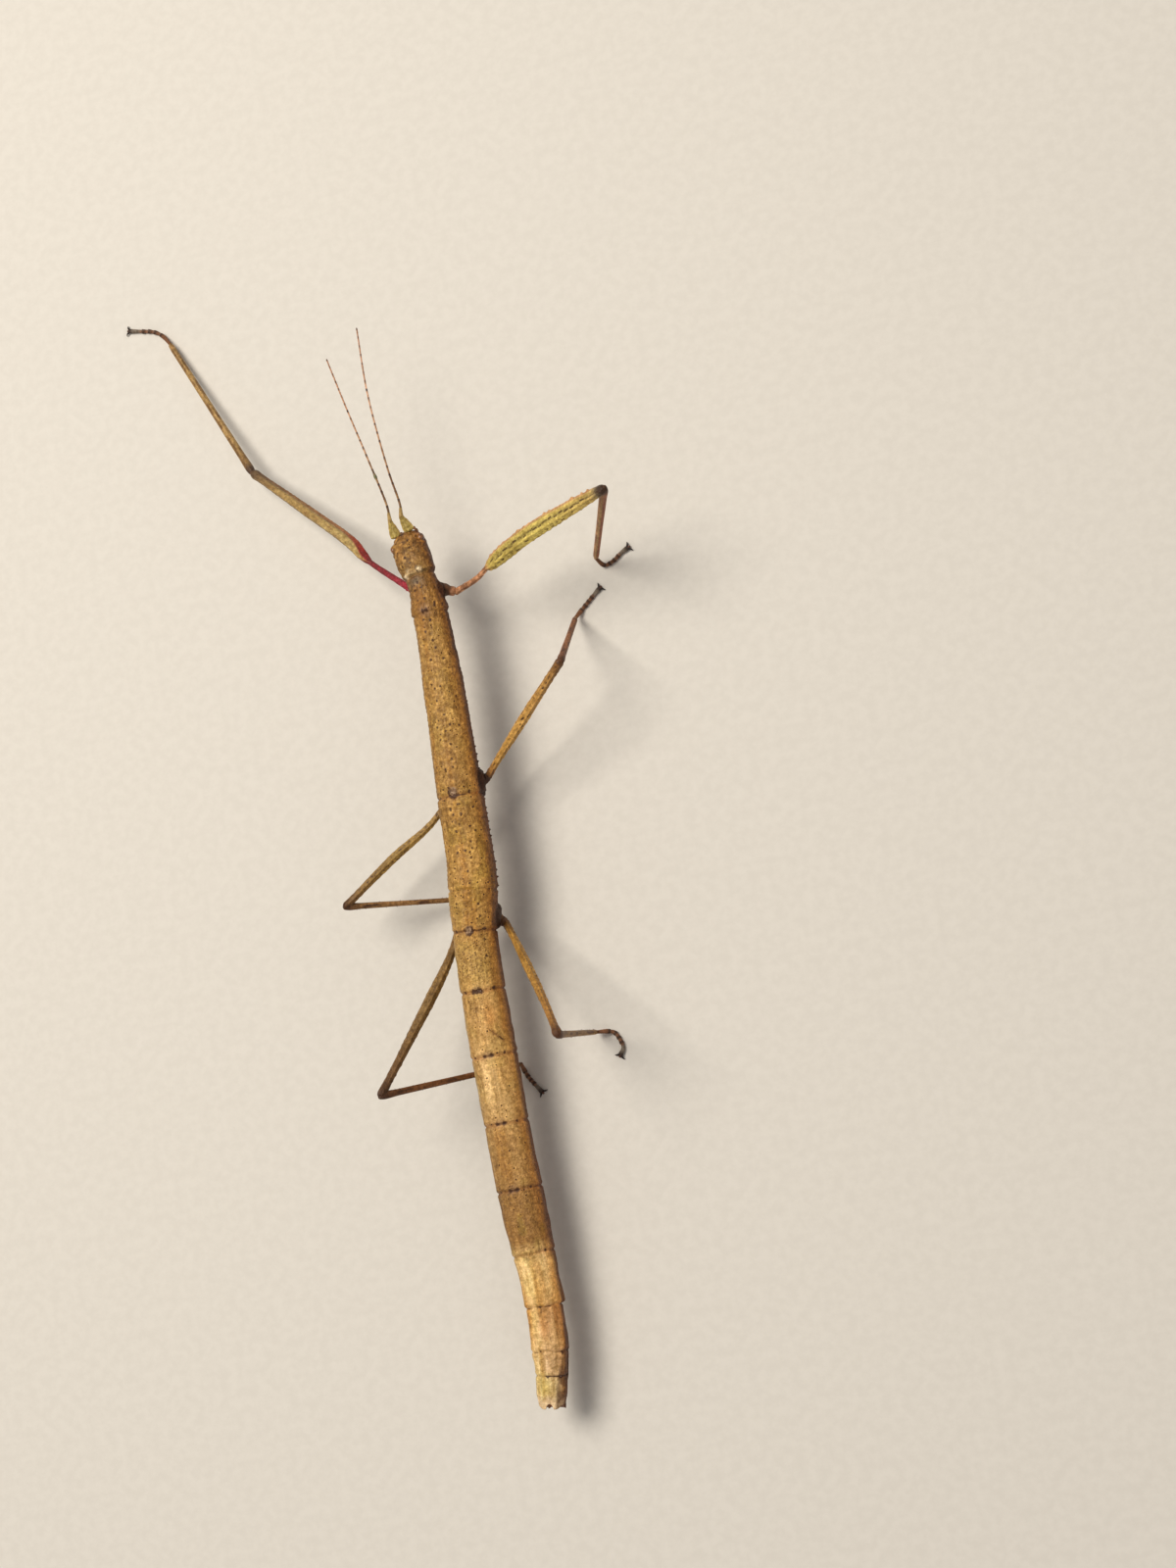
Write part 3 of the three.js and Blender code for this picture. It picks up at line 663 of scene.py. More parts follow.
# %% Where the legs go
# turn is how far a thigh leans about its length, in degrees, and bends lie on the thigh
LEGS = {
    "fore_left": {
        "turn": 62, "root": (-0.3, -40.7, 8.3), "hip": (1.35, -41.4, 7.55),
        "bends": [(5.75, -45.55, 6.45), (7.45, -47.95, 5.92), (12.5, -53.05, 4.6)],
        "knee": (18.87, -59.3, 3.0), "ankle": (27.42, -77.1, 0.88),
        "toes": [(28.5, -78.5, 0.24), (29.5, -79.2, 0.22), (31.0, -79.65, 0.22),
                 (32.5, -80.05, 0.22)]},
    "fore_right": {
        "turn": 0, "root": (-1.6, -40.5, 8.3), "hip": (-3.95, -39.65, 7.3),
        "bends": [(-7.1, -40.2, 8.9), (-8.73, -40.88, 9.86), (-14.43, -42.45, 12.95)],
        "knee": (-24.88, -43.91, 18.3), "ankle": (-18.2, -41.2, 1.5),
        "toes": [(-18.75, -40.5, 0.28), (-19.7, -40.75, 0.22), (-20.7, -41.4, 0.22),
                 (-21.6, -41.85, 0.22)]},
    "mid_left": {
        "turn": 10, "root": (-0.2, -18.8, 7.2), "hip": (1.35, -17.5, 6.1),
        "bends": [(3.4, -15.6, 6.45), (7.65, -13.0, 6.95)],
        "knee": (13.7, -8.75, 7.65), "ankle": (2.5, -7.9, 1.0),
        "toes": [(1.7, -6.9, 0.26), (1.2, -5.9, 0.22), (0.8, -4.8, 0.22), (0.5, -3.6, 0.22)]},
    "mid_right": {
        "turn": 10, "root": (-1.7, -17.9, 7.1), "hip": (-4.1, -19.6, 6.6),
        "bends": [(-6.0, -21.2, 7.5), (-12.0, -26.05, 10.3)],
        "knee": (-15.55, -28.85, 11.95), "ankle": (-14.75, -35.4, 1.0),
        "toes": [(-15.3, -36.2, 0.26), (-16.0, -36.8, 0.22), (-16.85, -37.5, 0.22),
                 (-17.75, -38.2, 0.22)]},
    "hind_left": {
        "turn": 0, "root": (0.5, -5.3, 6.6), "hip": (2.3, -4.6, 4.8),
        "bends": [(3.45, -1.4, 6.2), (7.6, 6.5, 10.35)],
        "knee": (10.6, 12.1, 13.6), "ankle": (-0.85, 10.6, 1.1),
        "toes": [(-0.85, 11.35, 0.26), (-1.2, 12.1, 0.22), (-1.75, 12.95, 0.22),
                 (-2.4, 13.85, 0.22)]},
    "hind_right": {
        "turn": 60, "root": (-1.33, -5.85, 6.6), "hip": (-3.0, -3.97, 5.25),
        "bends": [(-3.9, -2.6, 6.6), (-8.65, 5.4, 14.25)],
        "knee": (-10.85, 9.55, 18.2), "ankle": (-9.55, 8.7, 1.0),
        "toes": [(-11.3, 9.0, 0.26), (-11.85, 9.9, 0.22), (-12.05, 10.8, 0.22),
                 (-11.6, 11.5, 0.22)]}}
print("legs:", ", ".join(LEGS))

# %% How thick the legs are
# (share of the length, millimetres)
LIMB_SIZES = {
    "fore": {
        "thigh_wide": [(0, 0.8), (0.1, 0.7), (0.225, 0.64), (0.25, 1.3), (0.285, 1.68),
                       (0.36, 1.9), (0.6, 1.85), (0.79, 1.62), (0.91, 1.34), (0.97, 1.15),
                       (1, 0.8)],
        "thigh_thick": [(0, 0.8), (0.1, 0.7), (0.22, 0.62), (0.36, 1.1), (0.6, 1.0),
                        (0.91, 0.85), (0.97, 1.0), (1, 0.7)],
        "shin": [(0, 0.72), (0.05, 0.93), (0.15, 0.82), (0.6, 0.7), (0.94, 0.66), (1, 0.56)]},
    "mid": {
        "thigh_wide": [(0, 0.85), (0.1, 0.78), (0.5, 1.08), (0.9, 0.9), (0.97, 1.0), (1, 0.7)],
        "thigh_thick": [(0, 0.8), (0.1, 0.72), (0.5, 0.95), (0.9, 0.82), (0.97, 0.95),
                        (1, 0.65)],
        "shin": [(0, 0.7), (0.06, 0.88), (0.16, 0.74), (0.6, 0.64), (0.94, 0.62), (1, 0.54)]},
    "hind": {
        "thigh_wide": [(0, 1.0), (0.1, 0.88), (0.4, 1.25), (0.9, 0.92), (0.97, 1.05),
                       (1, 0.75)],
        "thigh_thick": [(0, 0.9), (0.1, 0.78), (0.4, 0.98), (0.9, 0.82), (0.97, 0.98),
                        (1, 0.7)],
        "shin": [(0, 0.72), (0.05, 0.92), (0.15, 0.78), (0.6, 0.7), (0.94, 0.64), (1, 0.55)]}}
COXA_SIZE = through([(0, 1.75), (0.55, 1.45), (0.8, 1.0), (0.9, 1.08), (1, 0.85)])
print("sizes for the legs:", ", ".join(LIMB_SIZES))

# %% [markdown]
# ## The trunk's skin
# The plates are joined by soft seams, so the whole trunk is one mesh, with a section every
# eighth of a millimetre. Sculpting would be freer, but on a computed grid every feature
# stands at its measured place.

# %% The grid of the skin
SKIN_ROWS = np.concatenate([[0, 0.01, 0.04, 0.09], np.linspace(0.15, 5, 74),
                            np.linspace(5, TAIL - 0.06, 652)[1:]])
SKIN_COLUMNS = 130
even = np.linspace(0, 2 * math.pi, SKIN_COLUMNS + 1)
skin_angles = even - 0.3 * np.sin(even)  # closer together on the back
D, A = np.meshgrid(SKIN_ROWS, skin_angles[:-1], indexing="ij")
A_SIGNED = np.where(A > math.pi, A - 2 * math.pi, A)  # from -pi, the right, to pi
DEGREES = np.degrees(A_SIGNED)
ASIDE = A_SIGNED * trunk_size(D)[0] / 2  # millimetres along the skin from the keel
BASE = trunk_point(D, A)
FLAT = np.stack([D, ASIDE, 0 * D], -1)  # the skin as if it were unrolled
ON_HEAD = 1 - ease(D, 5.0, 5.3)
ON_THORAX = ease(D, 5.3, 6.2) * (1 - ease(D, 40, 47))
ON_ABDOMEN = ease(D, 38, 43)
AT_TAIL = ease(D, 77, 78)
print("skin grid:", D.shape)

# %% [markdown]
# ### Seams, keel and folds
# A seam is a fine groove between raised edges. A keel runs along the back, and a fold along
# each flank. All are humps, added to one sheet of heights, which is cheaper to correct
# than cut edges.

# %% The relief of the seams, the keel and the flanks
relief = np.zeros_like(D)
for i, seam in enumerate(SUTURES[:-1]):
    waver = 0.05 * np.sin(A * 5 + i)
    relief -= 0.1 * hump(D, seam + waver, 0.1)
    relief += 0.035 * hump(D, seam - 0.3 + waver, 0.18) + 0.02 * hump(D, seam + 0.28, 0.12)
keel_runs = ease(D, 5.6, 7.6)
relief += 0.03 * hump(ASIDE, 0, 0.07) * keel_runs
relief -= 0.025 * (hump(ASIDE, 0.16, 0.08) + hump(ASIDE, -0.16, 0.08)) * keel_runs
fold_runs = ease(D, 5.8, 7.1) * (1 - ease(D, 82, 84))
# degrees from the keel, height in millimetres, half width in degrees
FOLDS = ((106, -0.1, 4), (97, 0.06, 4), (128, -0.05, 3.5))
for sign in (-1, 1):
    for degrees, tall, wide in FOLDS:
        relief += tall * hump(DEGREES, sign * degrees, wide) * fold_runs
print("seams:", len(SUTURES) - 1, "with folds at", [degrees for degrees, _, _ in FOLDS], "degrees")

# %% [markdown]
# ### Beads and wrinkles
# The thorax is beaded, and the abdomen wrinkled along its length, with one deep crease. A
# displacement modifier could do it, but the paint has to follow the same specks.

# %% The relief of the beads and the wrinkles
bead_away, bead_size = specks(D, ASIDE, 0.5, 3)
relief += 0.05 * ON_THORAX * (bead_size > 0.25) * hump(bead_away, 0, 0.13)
small_away, small_size = specks(D, ASIDE, 0.33, 7)
relief += 0.022 * hump(small_away, 0, 0.1) * (1 - 0.6 * ON_ABDOMEN)
drawn_out = np.stack([D * 0.22, np.sin(A) * 4.2, np.cos(A) * 4.2], axis=-1)
relief += 0.07 * (cloudy(drawn_out, 5) - 0.5) * (0.35 + 0.65 * ON_ABDOMEN)
relief += 0.05 * (cloudy(drawn_out * (1.6, 2.1, 2.1), 6) - 0.5) * (0.4 + 0.6 * ON_ABDOMEN)
relief += 0.09 * (cloudy(FLAT * 0.9, 8) - 0.5)
CREASE_STARTS = 53.99  # behind the brow, and 0.7 to the right of the keel
crease = D - CREASE_STARTS - (-ASIDE - 0.7) * 0.92
on_crease = ease(-ASIDE, 0.45, 0.75) * (1 - ease(-ASIDE, 1.9, 2.4))
relief -= 0.08 * hump(crease, 0, 0.14) * on_crease
for start, (name, length, *_) in zip(SUTURES, RINGS):
    if name.startswith("abdomen") and length > 4:
        for share in (0.28, 0.55, 0.8):
            waver = 0.25 * np.sin(A * 3 + share * 9)
            relief -= 0.016 * hump(D, start + length * share + waver, 0.12)
print("share on a bead:", round((bead_away < 0.13).mean(), 2))

# %% [markdown]
# ### The head
# A rim round each eye and socket, a Y-shaped seam on the crown, a dent between the feelers
# and two bumps on the rear edge: each is one more hump, so no edge has to be joined.

# %% The relief of the head
EYE_PLACE = {"left": 1, "right": -1}
EYE_BEHIND, EYE_ASIDE = 1.45, 1.62  # behind the brow, and to the side
SOCKET_BEHIND, SOCKET_ASIDE = 0.45, 0.84
for sign in (-1, 1):
    eye_angle = math.atan2(sign * EYE_ASIDE, 0.34)
    off = np.hypot(D - EYE_BEHIND, (A_SIGNED - eye_angle) * 1.7)
    relief += 0.09 * hump(off, 0.62, 0.13) * ON_HEAD
    socket_angle = math.atan2(sign * SOCKET_ASIDE, 0.67)
    off = np.hypot(D - SOCKET_BEHIND, (A_SIGNED - socket_angle) * 1.05)
    relief += 0.1 * hump(off, 0.62, 0.12) * ON_HEAD
    branch = (D - 2.5) + (ASIDE * sign) * 1.15
    near_side = ease(ASIDE * sign, 0, 0.1) * (1 - ease(ASIDE * sign, 1.1, 1.4))
    relief -= 0.05 * hump(branch, 0, 0.1) * near_side * ON_HEAD
    relief += 0.06 * hump(DEGREES, sign * 62, 12) * hump(D, 3.7, 1.0)
relief -= 0.045 * hump(ASIDE, 0, 0.07) * ease(D, 2.5, 2.7) * ON_HEAD
relief -= 0.16 * hump(ASIDE, 0, 0.3) * hump(D, 0.75, 0.35)
relief += 0.1 * (cloudy(BASE * 2.1, 11) - 0.5) * ON_HEAD
HEAD_BUMPS = ((4.95, 1.17), (4.68, -0.57))  # behind the brow and to the left
for behind, left in HEAD_BUMPS:
    relief += 0.15 * hump(np.hypot(D - behind, ASIDE - left), 0, 0.24)
# the rear edge of the head, and the front edge of the neck: place, height, half width
for place, tall, wide in ((4.85, 0.05, 0.16), (5.46, 0.06, 0.18)):
    relief += tall * hump(D, place, wide) * ease(np.cos(A), 0.1, 0.6)
print("relief so far:", round(relief.min(), 3), "to", round(relief.max(), 3))

# %% [markdown]
# ### Collars round the hips
# The skin swells round each leg in a collar, and on the right the two rear legs stand on
# higher cones. A separate ring would show a joint, so the distance from the hip's axis
# shapes the skin itself, and later says how far its dark colour and painted shade reach.

# %% Collars round the hips
HIGH_CONES = ("mid_right", "hind_right")
hip_dark_and_shade = np.zeros_like(D)
for name, leg in LEGS.items():
    outward = unit(np.array(leg["hip"]) - leg["root"])
    from_root = BASE - leg["root"]
    reach = from_root @ outward
    away = np.linalg.norm(from_root - reach[..., None] * outward, axis=-1)
    beside = ease(reach, 0.3, 0.9)
    relief += beside * (0.16 * hump(away, 1.02, 0.2) - 0.12 * hump(away, 1.45, 0.2))
    cone, dark_to = (0.42, 2.2) if name in HIGH_CONES else (0.2, 1.7)
    relief += cone * beside * hump(away, 0.6, 0.55)
    shown = 0.15 if name == "fore_left" else 1.0
    hip_dark_and_shade += shown * beside * (1 - ease(away, dark_to - 0.9, dark_to))
print("relief from", round(relief.min(), 3), "to", round(relief.max(), 3), "mm")

# %% [markdown]
# ## The trunk's colours
# The back runs from olive-brown over tan and straw to cream at the tail, with one dark
# olive ring. A brush would do, but tones with a place behind the brow can be corrected
# one by one, and later layers are laid over them.

# %% The ground tones along the back
TONES = [
    (0, 148, 102, 50), (2.5, 154, 108, 53), (4.6, 153, 112, 59),
    (5.6, 137, 97, 48), (9.0, 147, 104, 48), (12, 166, 124, 66),
    (20, 173, 131, 69), (29, 172, 129, 68), (34, 178, 134, 69),
    (39, 178, 134, 70), (43.5, 181, 138, 75), (47, 181, 141, 77),
    (53, 192, 148, 87), (60, 203, 164, 106), (65, 177, 134, 78),
    (70.5, 159, 118, 64), (71.5, 143, 103, 52), (76, 144, 103, 52),
    (78.4, 230, 190, 125), (80.5, 226, 184, 119), (83, 222, 175, 110),
    (85.5, 226, 181, 119), (88.5, 226, 190, 131), (93.5, 214, 183, 128)]
paint = tone_at(D, TONES)


def tint(share, red, green, blue):
    """Multiplies the paint's red, green and blue, by a share."""
    factors = np.array((red, green, blue))
    paint[...] = paint * (1 + (factors - 1) * np.asarray(share, float)[..., None])


def cover(colour, share):
    """Lays a colour over the paint, by a share."""
    paint[...] = blend(paint, colour, share)


print("tones along the back:", len(TONES))

# %% [markdown]
# ### Wide streaks
# Olive patches and long dull or pale streaks lie over the ground, as clouds drawn out
# along the body, much as wood grain is.

# %% Olive patches and wide streaks
def streaks_of(along, around, seed):
    """Clouds drawn out along the trunk."""
    return cloudy(np.stack([D * along, np.sin(A) * around, np.cos(A) * around], -1), seed)


olive = ease(cloudy(FLAT * (0.8, 0.9, 1), 21), 0.5, 0.8)
olive = olive * (0.25 + 0.35 * hump(D, 36, 5) + 0.5 * hump(D, 74, 3))
tint(np.clip(olive, 0, 1), 0.84, 0.96, 0.66)
wide = streaks_of(0.12, 3, 23)
tint(ease(wide, 0.55, 0.85) * (1 - 0.7 * ON_HEAD), 0.92, 0.84, 0.68)
tint(0.8 * ease(wide, 0.42, 0.2) * ON_ABDOMEN, 1.22, 1.26, 1.4)
print("olive share:", round(olive.mean(), 3))

# %% [markdown]
# ### The flanks
# The right flank turns orange and then dark brown, partly its own colour and partly
# painted shade on the side away from the key lamp. The left one is only duller, and
# painted shade darkens the left of the back. Angles from the keel say where, because
# they hold on every ring.

# %% The two flanks
FLANK_BROWN_AND_SHADE = rgb(88, 44, 20)
# the right flank: partly its own orange and brown, partly painted shade on the side away from the
# key lamp
tint(ease(-DEGREES, 30, 70), 0.96, 0.74, 0.46)
cover(FLANK_BROWN_AND_SHADE, 0.88 * ease(-DEGREES, 62, 86))
tint(ease(DEGREES, 40, 74), 0.8, 0.82, 0.8)
# painted shade over the left of the back
left_of_back_shade = ease(DEGREES, 5, 35) * ease(D, 10, 12) * (1 - ease(D, 71, 74))
tint(left_of_back_shade, 0.87, 0.88, 0.9)
tint(1 - AT_TAIL, 1.08, 1.09, 1.08)
tint(ON_HEAD, 0.93, 0.97, 1.04)
tint(0.8 * hump(D, 52.6, 1.5) * hump(ASIDE, -1.0, 0.6), 1.05, 0.86, 0.66)
print("mean of the paint:", paint.mean((0, 1)).round(3))

# %% [markdown]
# ### Fine streaks, pale beads and freckles
# The tops of the beads on the back are pale, with freckles between them. They use the
# relief's own specks, so that each pale top sits on its bead.

# %% Fine streaks, pale beads and freckles
fine = streaks_of(0.35, 6, 24)
tint(ease(fine, 0.55, 0.8) * (1 - ON_HEAD), 0.8, 0.76, 0.66)
tint(ease(fine, 0.4, 0.18) * ON_ABDOMEN, 1.12, 1.14, 1.2)
on_back = ease(np.cos(A), 0.1, 0.5)
pale_beads = ease(bead_size, 0.25, 0.9) * hump(bead_away, 0, 0.12) * on_back
tint(pale_beads * (ON_THORAX + 0.6 * ON_HEAD), 1.6, 1.68, 1.85)
pale_dots = ease(small_size, 0.5, 0.9) * hump(small_away, 0, 0.1) * on_back
tint(pale_dots * (1 - AT_TAIL), 1.3, 1.34, 1.4)
freckled = ease(cloudy(BASE * (3.0, 2.2, 3.0), 25), 0.52, 0.8) * (0.4 + 0.6 * ON_THORAX)
tint(freckled * (1 - AT_TAIL), 0.7, 0.66, 0.54)
tint(ease(DEGREES, 66, 100), 0.74, 0.68, 0.58)
cover(rgb(132, 92, 54), 0.8 * ease(np.abs(DEGREES), 115, 145))
print("mean of the paint:", paint.mean((0, 1)).round(3))

# %% [markdown]
# ### The tail's colours
# The last four rings are smooth and cream, with brown streaks, a duller, pinker stretch
# on the right and a pale rear edge. They are painted last, as no bead lies on them.

# %% Streaks and worn places of the tail
fine = cloudy(np.stack([D * 0.25, ASIDE * 2.6, 0 * D], -1), 26)
tint(AT_TAIL * ease(fine, 0.5, 0.72), 0.82, 0.74, 0.62)
tint(AT_TAIL * ease(fine, 0.45, 0.25), 1.06, 1.09, 1.16)
tint(AT_TAIL * hump(ASIDE, 0.75, 0.5), 1.06, 1.12, 1.18)
duller_right_stretch = ease(D, 82.4, 83.2) * (1 - ease(D, 89.6, 90.6)) * ease(-ASIDE, -0.9, 0.1)
tint(duller_right_stretch, 0.82, 0.74, 0.76)
tint(hump(D, 91.2, 1.2) * hump(ASIDE, 0.5, 0.9), 0.92, 1.02, 0.86)
rear_edge = ease(D, 91.6, 92.9) * ease(np.cos(A), 0.0, 0.5)
cover(rgb(240, 208, 172), 0.6 * rear_edge)
print("mean of the tail's paint:", paint[D[:, 0] > 78].mean((0, 1)).round(3))

# %% [markdown]
# ### Dark hips and side lines
# The skin round each hip is nearly black, partly its own dark brown and partly painted
# shade where leg and trunk meet. A dark line slants over the right of the thorax, and the
# tail's right side is brown, further up towards its end.

# %% Dark hips, the side line and the brown side of the tail
DARK_BROWN = rgb(92, 54, 28)
TAIL_BROWN = rgb(92, 54, 32)
BROWN_FROM = [(84, 76), (86.5, 66), (88.7, 46), (91, 28), (93.5, 26)]  # place, degrees
# nearly black round each hip: partly the skin's own brown, partly painted shade where leg and trunk
# meet
cover(rgb(58, 32, 18), 0.9 * np.clip(hip_dark_and_shade, 0, 1))
side_line = hump(DEGREES, -66 - (D - 37) * 1.2, 6) * ease(D, 33, 36) * (1 - ease(D, 43, 44))
cover(DARK_BROWN, 0.6 * side_line)
brown_side = ease(D, 84.0, 85.4) * ease(-DEGREES - np.interp(D, *zip(*BROWN_FROM)), -5, 9)
brown_side = brown_side * (0.7 + 0.3 * ease(cloudy(BASE * 1.6, 29), 0.35, 0.6))
cover(TAIL_BROWN, 0.85 * brown_side)
print("share dark at the hips:", round((hip_dark_and_shade > 0.5).mean(), 3))

# %% [markdown]
# ## Marks on the trunk
# Each seam is a thin broken line in a darker band of skin. The marks are kept apart from
# the paint, so that the finish can give them an edge finer than the mesh.

# %% Lines on the seams
# the number of the seam, and how dark its line is
LINES = {1: 0.5, 2: 0.1, 3: 0.5, 4: 0.35, 5: 0.35, 6: 0.35, 7: 0.3, 8: 0.25, 9: 1.3, 10: 1.0,
         11: 1.6}
BANDED = (1, 3, 4, 5, 6, 7, 8)  # the seams with a darker band of skin
mark = np.zeros_like(D)
for i, dark in LINES.items():
    seam = SUTURES[i + 1]
    broken = 0.3 + 0.7 * ease(cloudy(FLAT * (0, 1.3, 0) + (0, 0, i), 27), 0.3, 0.6)
    line = dark * broken * hump(D, seam + 0.05 * np.sin(A * 5 + i + 1), 0.075)
    mark += 0.62 * line
    tint(np.clip(0.7 * line, 0, 1), 0.55, 0.46, 0.4)
    if i in BANDED:
        band = hump(D, seam + 0.03 * np.sin(A * 7 + i), 0.26) * ease(np.cos(A), -0.2, 0.3)
        tint(0.75 * band, 0.8, 0.66, 0.66)
print("seam lines:", len(LINES), "darkest mark:", round(mark.max(), 2))

# %% [markdown]
# ### Spots on the seams
# Where a seam crosses the keel there is a pair of black dots round a grey patch, or on the
# thorax a dark ring round a frosted middle. All are ovals on the unrolled skin.

# %% Spots on the seams of the back
GREY = rgb(146, 116, 94)
FROSTED = rgb(186, 162, 140)


def spot(behind, left, tall, wide):
    """1 at a place on the back, and fading over an oval."""
    return hump(np.hypot((D - behind) / tall, (ASIDE - left) / wide), 0, 1)


def ring_spot(behind, left, outer, dark_way):
    """Paints a grey patch, and gives the mark of the ring round it."""
    ahead = (D - behind) * 0.9
    side = ASIDE - left
    away = np.hypot(ahead, side)
    facing = 0.62 + 0.38 * (ahead * dark_way[0] + side * dark_way[1]) / np.maximum(away, 0.05)
    cover(GREY, 0.75 * (1 - ease(away, outer * 0.5, outer * 1.15)))
    streaky = ease(cloudy(np.stack([D * 5, ASIDE * 2.5, 0 * D], -1), 28), 0.45, 0.6)
    inside = 1 - ease(away, outer * 0.6, outer * 0.9)
    cover(FROSTED, 0.4 * inside * (1 - streaky))
    return 0.9 * facing * hump(away, outer, 0.15) + 0.5 * streaky * inside


first = SUTURES[1] - 0.25
cover(GREY, 0.6 * spot(first + 0.05, 0.0, 0.5, 0.7))
for left in (0.25, -0.25):
    mark += 0.85 * spot(first, left, 0.34, 0.19)
mark += 0.4 * spot(first + 0.05, 0, 0.16, 0.3)
mark += ring_spot(SUTURES[2] - 0.4, 0.0, 0.56, (0.6, 0.8))
mark += ring_spot(SUTURES[4] - 0.1, 0.0, 0.45, (0.8, -0.6))
for seam in (SUTURES[2], SUTURES[4]):
    mark += 0.6 * spot(seam, -0.95, 0.1, 0.45) + 0.5 * spot(seam + 0.05, 0.95, 0.1, 0.4)
# the number of the seam, the dots' length, how far they stand apart, the middle's darkness
SEAM_DOTS = ((5, 0.34, 0.36, 0.5), (6, 0.25, 0.42, 0.3), (7, 0.24, 0.42, 0.3),
             (8, 0.27, 0.42, 0.3))
for i, tall, apart, middle in SEAM_DOTS:
    seam = SUTURES[i] - 0.03
    cover(GREY, 0.5 * spot(seam - 0.12, 0, 0.4, 0.5))
    mark += 0.85 * spot(seam, apart, tall, 0.26) + 0.95 * spot(seam, -apart, tall, 0.28)
    mark += middle * spot(seam, 0, 0.2, 0.3)
mark += 0.7 * spot(SUTURES[10], 0.0, 0.14, 0.3) + 0.5 * spot(SUTURES[9] + 0.5, 0.1, 0.3, 0.3)
mark += 0.6 * spot(SUTURES[10] + 0.5, -0.05, 0.3, 0.25)
print("darkest mark on the back:", round(mark.max(), 2))

# %% [markdown]
# ### Dots of the back
# Larger dark dots with pale rims stand in loose rows beside the keel, and a pair on each
# ring's rear edge. Chance would miss the rows, so these few are listed.

# %% Where the dots are
# behind the brow, to the left, size
SIDE_DOTS = [
    (29.18, 1.92, 0.16), (28.91, -1.73, 0.18), (43.39, 1.64, 0.17), (43.27, -1.73, 0.19),
    (49.71, 1.48, 0.16), (49.64, -1.92, 0.19), (56.48, -1.87, 0.17), (56.55, 1.71, 0.15),
    (63.67, -1.85, 0.16), (70.64, -1.92, 0.16), (70.64, 1.72, 0.13), (77.3, -1.94, 0.17),
    (87.7, -1.84, 0.18), (87.39, 0.65, 0.12), (90.06, -1.49, 0.17), (90.08, 0.0, 0.12)]
RIMMED_DOTS = [  # on the head, the neck and the thorax
    (2.15, 1.26, 0.12), (2.75, 1.8, 0.12), (3.82, 1.14, 0.13), (3.05, 0.48, 0.14),
    (2.23, -0.39, 0.12), (1.33, -0.38, 0.12), (3.79, 0.04, 0.11), (0.95, 1.1, 0.11),
    (6.02, 0.1, 0.14), (6.63, -0.18, 0.15), (6.72, 0.62, 0.13), (7.93, 0.58, 0.12),
    (7.89, -0.26, 0.15), (8.86, -1.18, 0.16), (8.55, -1.25, 0.14), (8.8, -2.17, 0.15),
    (10.13, 0.35, 0.15), (11.44, 0.38, 0.15), (10.33, -0.41, 0.15), (12.5, -0.28, 0.16),
    (13.35, -0.45, 0.16), (11.78, -0.13, 0.08), (11.12, -0.41, 0.09), (14.5, 0.33, 0.16),
    (14.27, -0.41, 0.08), (14.6, -1.11, 0.15), (12.76, 0.93, 0.08), (17.12, 0.69, 0.14),
    (17.62, 0.34, 0.14), (17.46, -0.28, 0.14), (18.93, 0.33, 0.14), (19.13, 1.04, 0.08),
    (18.87, -0.5, 0.09), (20.51, -0.24, 0.15), (21.65, -0.71, 0.14), (21.71, 0.75, 0.14),
    (22.54, 0.45, 0.09), (23.11, 0.6, 0.13), (22.26, -0.17, 0.13), (23.73, -0.49, 0.14),
    (18.76, -1.84, 0.15), (14.18, -1.79, 0.09), (21.82, -1.68, 0.13), (20.48, -0.88, 0.08),
    (26.26, 0.49, 0.13), (25.26, -0.38, 0.13), (26.16, -0.38, 0.13), (30.46, 0.6, 0.14),
    (31.11, 0.38, 0.13), (32.87, 0.37, 0.13), (32.23, -0.14, 0.12), (35.13, 0.55, 0.13),
    (35.07, -0.33, 0.13), (31.14, -0.49, 0.13), (30.09, -0.29, 0.12), (32.58, -1.19, 0.14),
    (33.13, -1.72, 0.13), (30.61, -1.91, 0.14), (34.16, -1.05, 0.13), (34.87, -1.09, 0.12),
    (35.26, -0.83, 0.12), (35.85, -0.87, 0.12), (36.76, 1.21, 0.13), (37.23, -0.34, 0.12),
    (40.55, 1.3, 0.14), (39.87, 0.37, 0.11), (40.63, -1.25, 0.15), (41.9, -1.4, 0.14),
    (41.22, -0.58, 0.11), (44.42, -1.61, 0.13), (46.23, -1.58, 0.13), (45.77, -0.43, 0.11)]
for behind, left, size in RIMMED_DOTS:
    rim = hump(np.hypot(D - behind, ASIDE - left), 0.29, 0.1)
    tint(0.9 * rim, 1.3, 1.36, 1.42)
for behind, left, size in SIDE_DOTS + RIMMED_DOTS:
    mark += hump(np.hypot(D - behind, ASIDE - left), 0, size * 1.08)
print("dots:", len(SIDE_DOTS), "on the rings' edges and", len(RIMMED_DOTS), "with pale rims")

# %% [markdown]
# ### Crowded specks and the old crease
# On the first rings of the abdomen fine specks crowd together, and the crease is dark. A
# wide hump thins out one scatter of specks, which no list could.

# %% Crowded specks, and the dark of the crease
speck_away, speck_number = specks(D, ASIDE, 0.3, 37)
over_back = ease(np.cos(A), 0.3, 0.7)
crowded = hump(D, 51.6, 1.9) * hump(ASIDE, 0.4, 1.3) + 0.8 * hump(D, 46.8, 2.6) * over_back
crowded = np.clip(1.4 * crowded, 0, 1) + 0.45 * hump(D, 38, 9) * over_back
mark += 0.85 * crowded * (speck_number > 0.35) * hump(speck_away, 0, 0.085)
broken = 0.55 + 0.45 * ease(cloudy(FLAT * 2.2, 39), 0.4, 0.6)
tint(hump(crease, 0, 0.24) * on_crease, 0.6, 0.5, 0.42)
mark += 0.95 * broken * hump(crease, 0, 0.13) * on_crease
print("points under a mark:", int((mark > 0.5).sum()), "of", mark.size)
